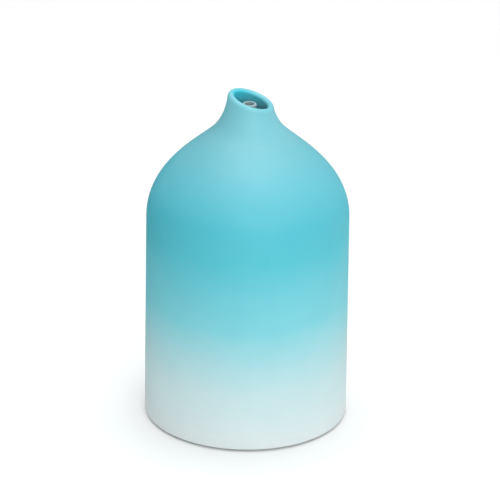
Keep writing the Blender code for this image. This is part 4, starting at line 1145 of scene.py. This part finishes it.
def make_transistor():
    """Moulded body on a metal tab with a hole, and three formed legs."""
    low, high = box_mm("power_transistor")
    body = block((low.x, low.y, low.z), (high.x, high.y - 0.8, high.z - 3.4), 0.25, 3)
    tab_outline = [(x + (low.x + high.x) / 2, z + (low.z + high.z) / 2)
                   for x, z in rounded_rectangle((high.x - low.x) / 2, (high.z - low.z) / 2, 0.5, 3)]
    hole = prism("hole", [circle(1.2, TINY, ((low.x + high.x) / 2, high.z - 1.9))], -30, 0, FACING_REAR)
    tab = shape(prism("tab", [tab_outline], -high.y, -high.y + 0.75, FACING_REAR), [("DIFFERENCE", hole)])
    legs = []
    for step in (-1, 0, 1):
        x = (low.x + high.x) / 2 + step * 1.9
        y = low.y + 1.2
        legs.append(block((x - 0.35, y - 0.2, low.z - 1.0), (x + 0.35, y + 0.2, low.z + 0.2), 0.08))
        legs.append(block((x - 0.2, y - 0.2, low.z - 2.3), (x + 0.2, y + 0.2, low.z - 0.9), 0.08))
    stand_in("power_transistor", merged("transistor", ([body], 0), ([tab] + legs, 1)), "ferrite", "tin")


def make_inductor():
    """Ferrite bobbin with visible turns of enamelled wire."""
    low, high = box_mm("drum_inductor")
    centre = middle("drum_inductor")
    radius = (high.x - low.x) / 2
    drum = [(0, low.z), (radius, low.z), (radius, low.z + 1.4), (2.4, low.z + 1.8), (2.4, high.z - 1.8),
            (radius, high.z - 1.4), (radius, high.z), (1.2, high.z), (0.9, high.z - 0.5), (0, high.z - 0.5)]
    winding = [(2.3, low.z + 1.7)]
    wire = 0.42
    z = low.z + 1.75
    while z + wire < high.z - 1.7:
        winding += arc((3.4, z + wire / 2), wire / 2, -80, 80, 4)
        z += wire
    winding += [(2.3, z)]
    mesh = merged("inductor", ([turned("winding", winding, MEDIUM, centre, 80)], 0),
                  ([turned("drum", filleted(drum, 0.3, 3), MEDIUM, centre)], 1))
    stand_in("drum_inductor", mesh, "copper", "ferrite")


def make_capacitors():
    """Sleeved cans with a crimped neck, a scored vent and a rubber bung."""
    for node in ("capacitor_1", "capacitor_2"):
        low, high = box_mm(node)
        centre = middle(node)
        radius = (high.x - low.x) / 2
        sleeve = [(radius - 0.5, low.z + 0.2), (radius - 0.1, low.z + 0.2), (radius, low.z + 0.5),
                  (radius, low.z + 1.1), (radius - 0.35, low.z + 1.5), (radius, low.z + 1.9),
                  (radius, high.z - 0.6), (radius - 0.25, high.z - 0.1), (radius - 0.9, high.z),
                  (radius - 0.95, high.z - 0.15), (radius - 0.5, high.z - 0.5)]
        can = [(0, low.z + 0.3), (radius - 0.45, low.z + 0.3), (radius - 0.45, high.z - 0.6),
               (radius - 0.9, high.z - 0.1), (0, high.z - 0.1)]
        bung = [(0, low.z), (1.9, low.z), (2.1, low.z + 0.35), (0, low.z + 0.35)]
        arms = [rectangle(centre[0] - 1.7, centre[1] - 0.12, centre[0] + 1.7, centre[1] + 0.12),
                rectangle(centre[0] - 0.12, centre[1] - 1.7, centre[0] + 0.12, centre[1] + 1.7)]
        vent = [("DIFFERENCE", prism("vent", [arm], high.z - 0.25, high.z + 1)) for arm in arms]
        mesh = merged(node, ([shape(turned("can", filleted(can, 0.3, 3), SMALL, centre), vent)], 0),
                      ([turned("sleeve", filleted(sleeve, 0.12, 2), SMALL, centre)], 1),
                      ([turned("bung", bung, SMALL, centre)], 2))
        stand_in(node, mesh, "aluminium", "sleeve", "rubber")


def make_chip():
    """Small-outline chip: bevelled body with a pin-one dimple and sixteen gull-wing legs."""
    low, high = box_mm("controller_chip")
    body = block((low.x, low.y + 0.9, low.z + 0.12), (high.x, high.y - 0.9, high.z), 0.18, 2)
    dimple = prism("dimple", [circle(0.4, TINY, (low.x + 1.0, low.y + 1.9))], high.z - 0.12, high.z + 1)
    body = shape(body, [("DIFFERENCE", dimple)])
    legs = []
    pitch = (high.x - low.x - 1.2) / 7
    for step in range(8):
        x = low.x + 0.6 + pitch * step
        for side, y in ((-1, low.y), (1, high.y)):
            inner = y - side * 1.1
            for ends, bottom, top in (((y, y - side * 0.55), 0.0, 0.18),
                                      ((y - side * 0.4, y - side * 0.6), 0.0, 0.85),
                                      ((inner, y - side * 0.4), 0.68, 0.85)):
                legs.append(block((x - 0.2, min(ends), low.z + bottom),
                                  (x + 0.2, max(ends), low.z + top), 0.05))
    stand_in("controller_chip", merged("chip", ([body], 0), (legs, 1)), "ferrite", "tin")


def make_switch_board():
    """Upright board behind the panel, notched over the inlet, with the switches' solder joints."""
    low, high = box_mm("switch_board")
    gap = 5.2
    outline = [(low.x, low.z), (-gap, low.z), (-gap, 18), (gap, 18), (gap, low.z), (high.x, low.z),
               (high.x, high.z), (low.x, high.z)]
    plate = prism("switch_board", [filleted(outline, 0.8, 4)], -high.y, -low.y, FACING_REAR)
    board = shape(plate, [], bevel=0.1)
    joints = []
    for node in ("mist_switch", "light_switch"):
        x = middle(node)[0]
        for dx in (-3.2, 3.2):
            for dz in (-2.2, 2.2):
                cone = [(0, -0.05), (0.8, -0.05), (0.4, 0.3), (0.25, 0.6), (0, 0.65)]
                place = (x + dx, low.y, middle_z(node) + dz)
                joints.append(moved(turned("joint", cone, TINY), place, FACING_REAR))
    stand_in("switch_board", merged("switch_board", ([board], 0), (joints, 1)), "board", "tin")


def make_switches():
    """Tact switches: body, spring cover with four rivets, and a round plunger."""
    for node in ("mist_switch", "light_switch"):
        low, high = box_mm(node)
        x, z = (low.x + high.x) / 2, middle_z(node)
        half = (high.x - low.x) / 2
        body = block((x - half, low.y, z - half), (x + half, low.y + 2.1, z + half), 0.2, 2)
        depth = high.y - low.y
        plunger = [(0, 1.0), (1.7, 1.0), (1.7, depth - 0.3), (1.4, depth), (0, depth)]
        stem = moved(turned("plunger", plunger, SMALL), (x, low.y, z), OUT_OF_REAR)
        hole = prism("hole", [circle(2.0, SMALL, (x, z))], -60, 0, FACING_REAR)
        inset = half - 0.15
        plate = block((x - inset, low.y + 2.05, z - inset), (x + inset, low.y + 2.6, z + inset), 0.15, 2)
        rivet = [(0, -0.1), (0.35, -0.1), (0.35, 0.1), (0.2, 0.2), (0, 0.22)]
        rivets = [moved(turned("rivet", rivet, TINY), (x + dx, low.y + 2.6, z + dz), OUT_OF_REAR)
                  for dx in (-2.1, 2.1) for dz in (-2.1, 2.1)]
        mesh = merged(node, ([body, stem], 0), ([shape(plate, [("DIFFERENCE", hole)])] + rivets, 1))
        stand_in(node, mesh, "black", "tin")


def make_led_board():
    """C-shaped board with rounded ends and six ballast resistors, and three lamps in white cups."""
    low, high = box_mm("led_board")
    inner, outer = 33.5, 40.5
    outline = arc((0, 0), inner, 140, 400, 72) + arc((0, 0), outer, 400, 140, 72)
    board = shape(prism("led_board", [filleted(outline, 0.02, 1)], low.z, high.z), [], bevel=0.1)
    parts, ends = [], []
    for degrees in (200, 215, 250, 290, 325, 340):
        turn = Matrix.Rotation(math.radians(degrees), 4, "Z")
        parts.append(moved(block((36.4, -0.8, high.z), (37.6, 0.8, high.z + 0.5), 0.08), (0, 0, 0), turn))
        ends += [moved(block((36.35, y, high.z), (37.65, y + 0.4, high.z + 0.53), 0.08), (0, 0, 0), turn)
                 for y in (-1.1, 0.7)]
    mesh = merged("led_board", ([board], 0), (ends, 1), (parts, 2))
    stand_in("led_board", mesh, "board", "tin", "ferrite")
    for node in ("led_1", "led_2", "led_3"):
        low, high = box_mm(node)
        centre = middle(node)
        cup = block((low.x, low.y, low.z), (high.x, high.y, high.z), 0.25, 2)
        hollow = [(0, high.z - 0.5), (1.7, high.z - 0.5), (2.05, high.z + 0.1), (0, high.z + 0.1)]
        bowl = turned("bowl", hollow, SMALL, centre)
        resin = [(0, high.z - 0.6), (1.75, high.z - 0.6), (1.95, high.z - 0.12), (1.2, high.z - 0.03),
                 (0, high.z)]
        lens = turned("resin", resin, SMALL, centre)
        mesh = merged(node, ([lens], 0), ([shape(cup, [("DIFFERENCE", bowl)])], 1))
        stand_in(node, mesh, "lamp", "white")


LEAD_ROUTES = {
    "fan_lead": [(21.5, 4.5, 10), (23.5, 8, 12), (22, 12, 11.5), (20, 17, 7.9)],
    "transducer_lead": [(0, -10, 39.3), (0, -8, 34.5), (3, 2, 26), (2, 11, 16), (-2, 13, 7.9)],
    "led_lead": [(34, -6, 28.9), (32, -2, 24), (29, 6, 17), (24, 13, 11), (21, 20, 7.9)],
}


def make_leads():
    """Each lead is a twisted pair, red and black, with tinned ends."""
    for node, points in LEAD_ROUTES.items():
        route = smooth_route(points, 24)
        strands = ([], [])
        travelled = 0.0
        previous = route[0]
        for point, side, other in frames_along(route):
            travelled += (point - previous).length
            previous = point
            angle = 2 * math.pi * travelled / 7.0
            offset = (side * math.cos(angle) + other * math.sin(angle)) * 0.4
            strands[0].append(point + offset)
            strands[1].append(point - offset)
        red, black = (tube("strand", strand[3:-3], 0.39) for strand in strands)
        cores = [tube("core", strand, 0.2, 8) for strand in (strands[0], strands[1])]
        stand_in(node, merged(node, ([red], 0), ([black], 1), (cores, 2)), "red", "dark", "tin")


# ---------------------------------------------------------------- stage

def make_stage():
    """Flat pale floor, white surroundings and two soft lamps."""
    floor = bpy.data.meshes.new("floor")
    reach = 3.0
    floor.from_pydata([(-reach, -reach, 0), (reach, -reach, 0), (reach, reach, 0), (-reach, reach, 0)], [],
                      [(0, 1, 2, 3)])
    floor_object = bpy.data.objects.new("floor", floor)
    bpy.context.scene.collection.objects.link(floor_object)
    look = Look("floor_paint", (0.93, 0.93, 0.93), 0.9)
    look.shader.inputs["Specular IOR Level"].default_value = 0.1
    floor.materials.append(look.material)

    floor_object.visible_glossy = False
    make_world()
    for name, place, size, power in (
        ("key", (0.50, -0.95, 0.60), 0.7, 3.0),
        ("top", (0.0, 0.15, 1.60), 1.1, 14.5),
    ):
        lamp = bpy.data.lights.new(name, "AREA")
        lamp.shape = "DISK"
        lamp.size = size
        lamp.energy = power
        lamp_object = bpy.data.objects.new(name, lamp)
        lamp_object.location = place
        aim = Vector((0, 0, 0.09)) - Vector(place)
        lamp_object.rotation_euler = aim.to_track_quat("-Z", "Y").to_euler()
        bpy.context.scene.collection.objects.link(lamp_object)


def make_world():
    """White surroundings; what glossy surfaces mirror is bright at the front right and dim at the left."""
    world = bpy.data.worlds.new("studio")
    bpy.context.scene.world = world
    world.use_nodes = True
    tree = world.node_tree
    bright_side = math.radians(51.0)
    facing = tree.nodes.new("ShaderNodeVectorMath")
    facing.operation = "DOT_PRODUCT"
    facing.inputs[1].default_value = (math.sin(bright_side), -math.cos(bright_side), 0.0)
    tree.links.new(tree.nodes.new("ShaderNodeTexCoord").outputs["Generated"], facing.inputs[0])
    mirrored = tree.nodes.new("ShaderNodeMapRange")
    mirrored.inputs["From Min"].default_value = -0.7
    mirrored.inputs["To Min"].default_value = 0.0
    mirrored.inputs["To Max"].default_value = 1.9
    tree.links.new(facing.outputs["Value"], mirrored.inputs["Value"])
    strength = tree.nodes.new("ShaderNodeMix")
    strength.data_type = "FLOAT"
    strength.inputs[2].default_value = 0.60
    tree.links.new(tree.nodes.new("ShaderNodeLightPath").outputs["Is Glossy Ray"], strength.inputs[0])
    tree.links.new(mirrored.outputs["Result"], strength.inputs[3])
    tree.links.new(strength.outputs[0], tree.nodes["Background"].inputs["Strength"])
    tree.nodes["Background"].inputs["Color"].default_value = (1.0, 1.0, 1.0, 1.0)


def make_camera():
    """Long lens from slightly above; the camera is rolled a little, as the object leans in its frame."""
    distance = 2.0
    elevation = math.radians(23.9)
    azimuth = math.radians(11.0)
    roll = math.radians(0.77)
    target = Vector((0, 0, 0.085))
    away = Vector((math.sin(azimuth) * math.cos(elevation), -math.cos(azimuth) * math.cos(elevation),
                   math.sin(elevation)))
    camera = bpy.data.cameras.new("camera")
    camera.sensor_width = 36.0
    camera.lens = 293.8
    camera.shift_x = 0.0052
    camera.shift_y = 0.0023
    camera.clip_end = 20.0
    camera_object = bpy.data.objects.new("camera", camera)
    camera_object.location = target + away * distance
    facing = (-away).to_track_quat("-Z", "Y").to_matrix().to_4x4()
    camera_object.rotation_euler = (facing @ Matrix.Rotation(roll, 4, "Z")).to_euler()
    bpy.context.scene.collection.objects.link(camera_object)
    bpy.context.scene.camera = camera_object
    bpy.context.scene.view_settings.view_transform = "Standard"


def main():
    make_camera()
    make_stage()
    make_ceramic_cover()
    make_nozzle()
    make_chimney()
    make_lid()
    make_bottom_plate()
    make_feet()
    make_housing()
    make_rear_panel()
    make_buttons()
    make_tank()
    make_seals()
    make_air_funnel()
    make_transducer()
    make_probe()
    make_screws()
    make_fan_frame()
    make_fan_motor()
    make_fan_rotor()
    make_main_board()
    make_dc_inlet()
    make_heat_sink()
    make_transistor()
    make_inductor()
    make_capacitors()
    make_chip()
    make_switch_board()
    make_switches()
    make_led_board()
    make_leads()


main()
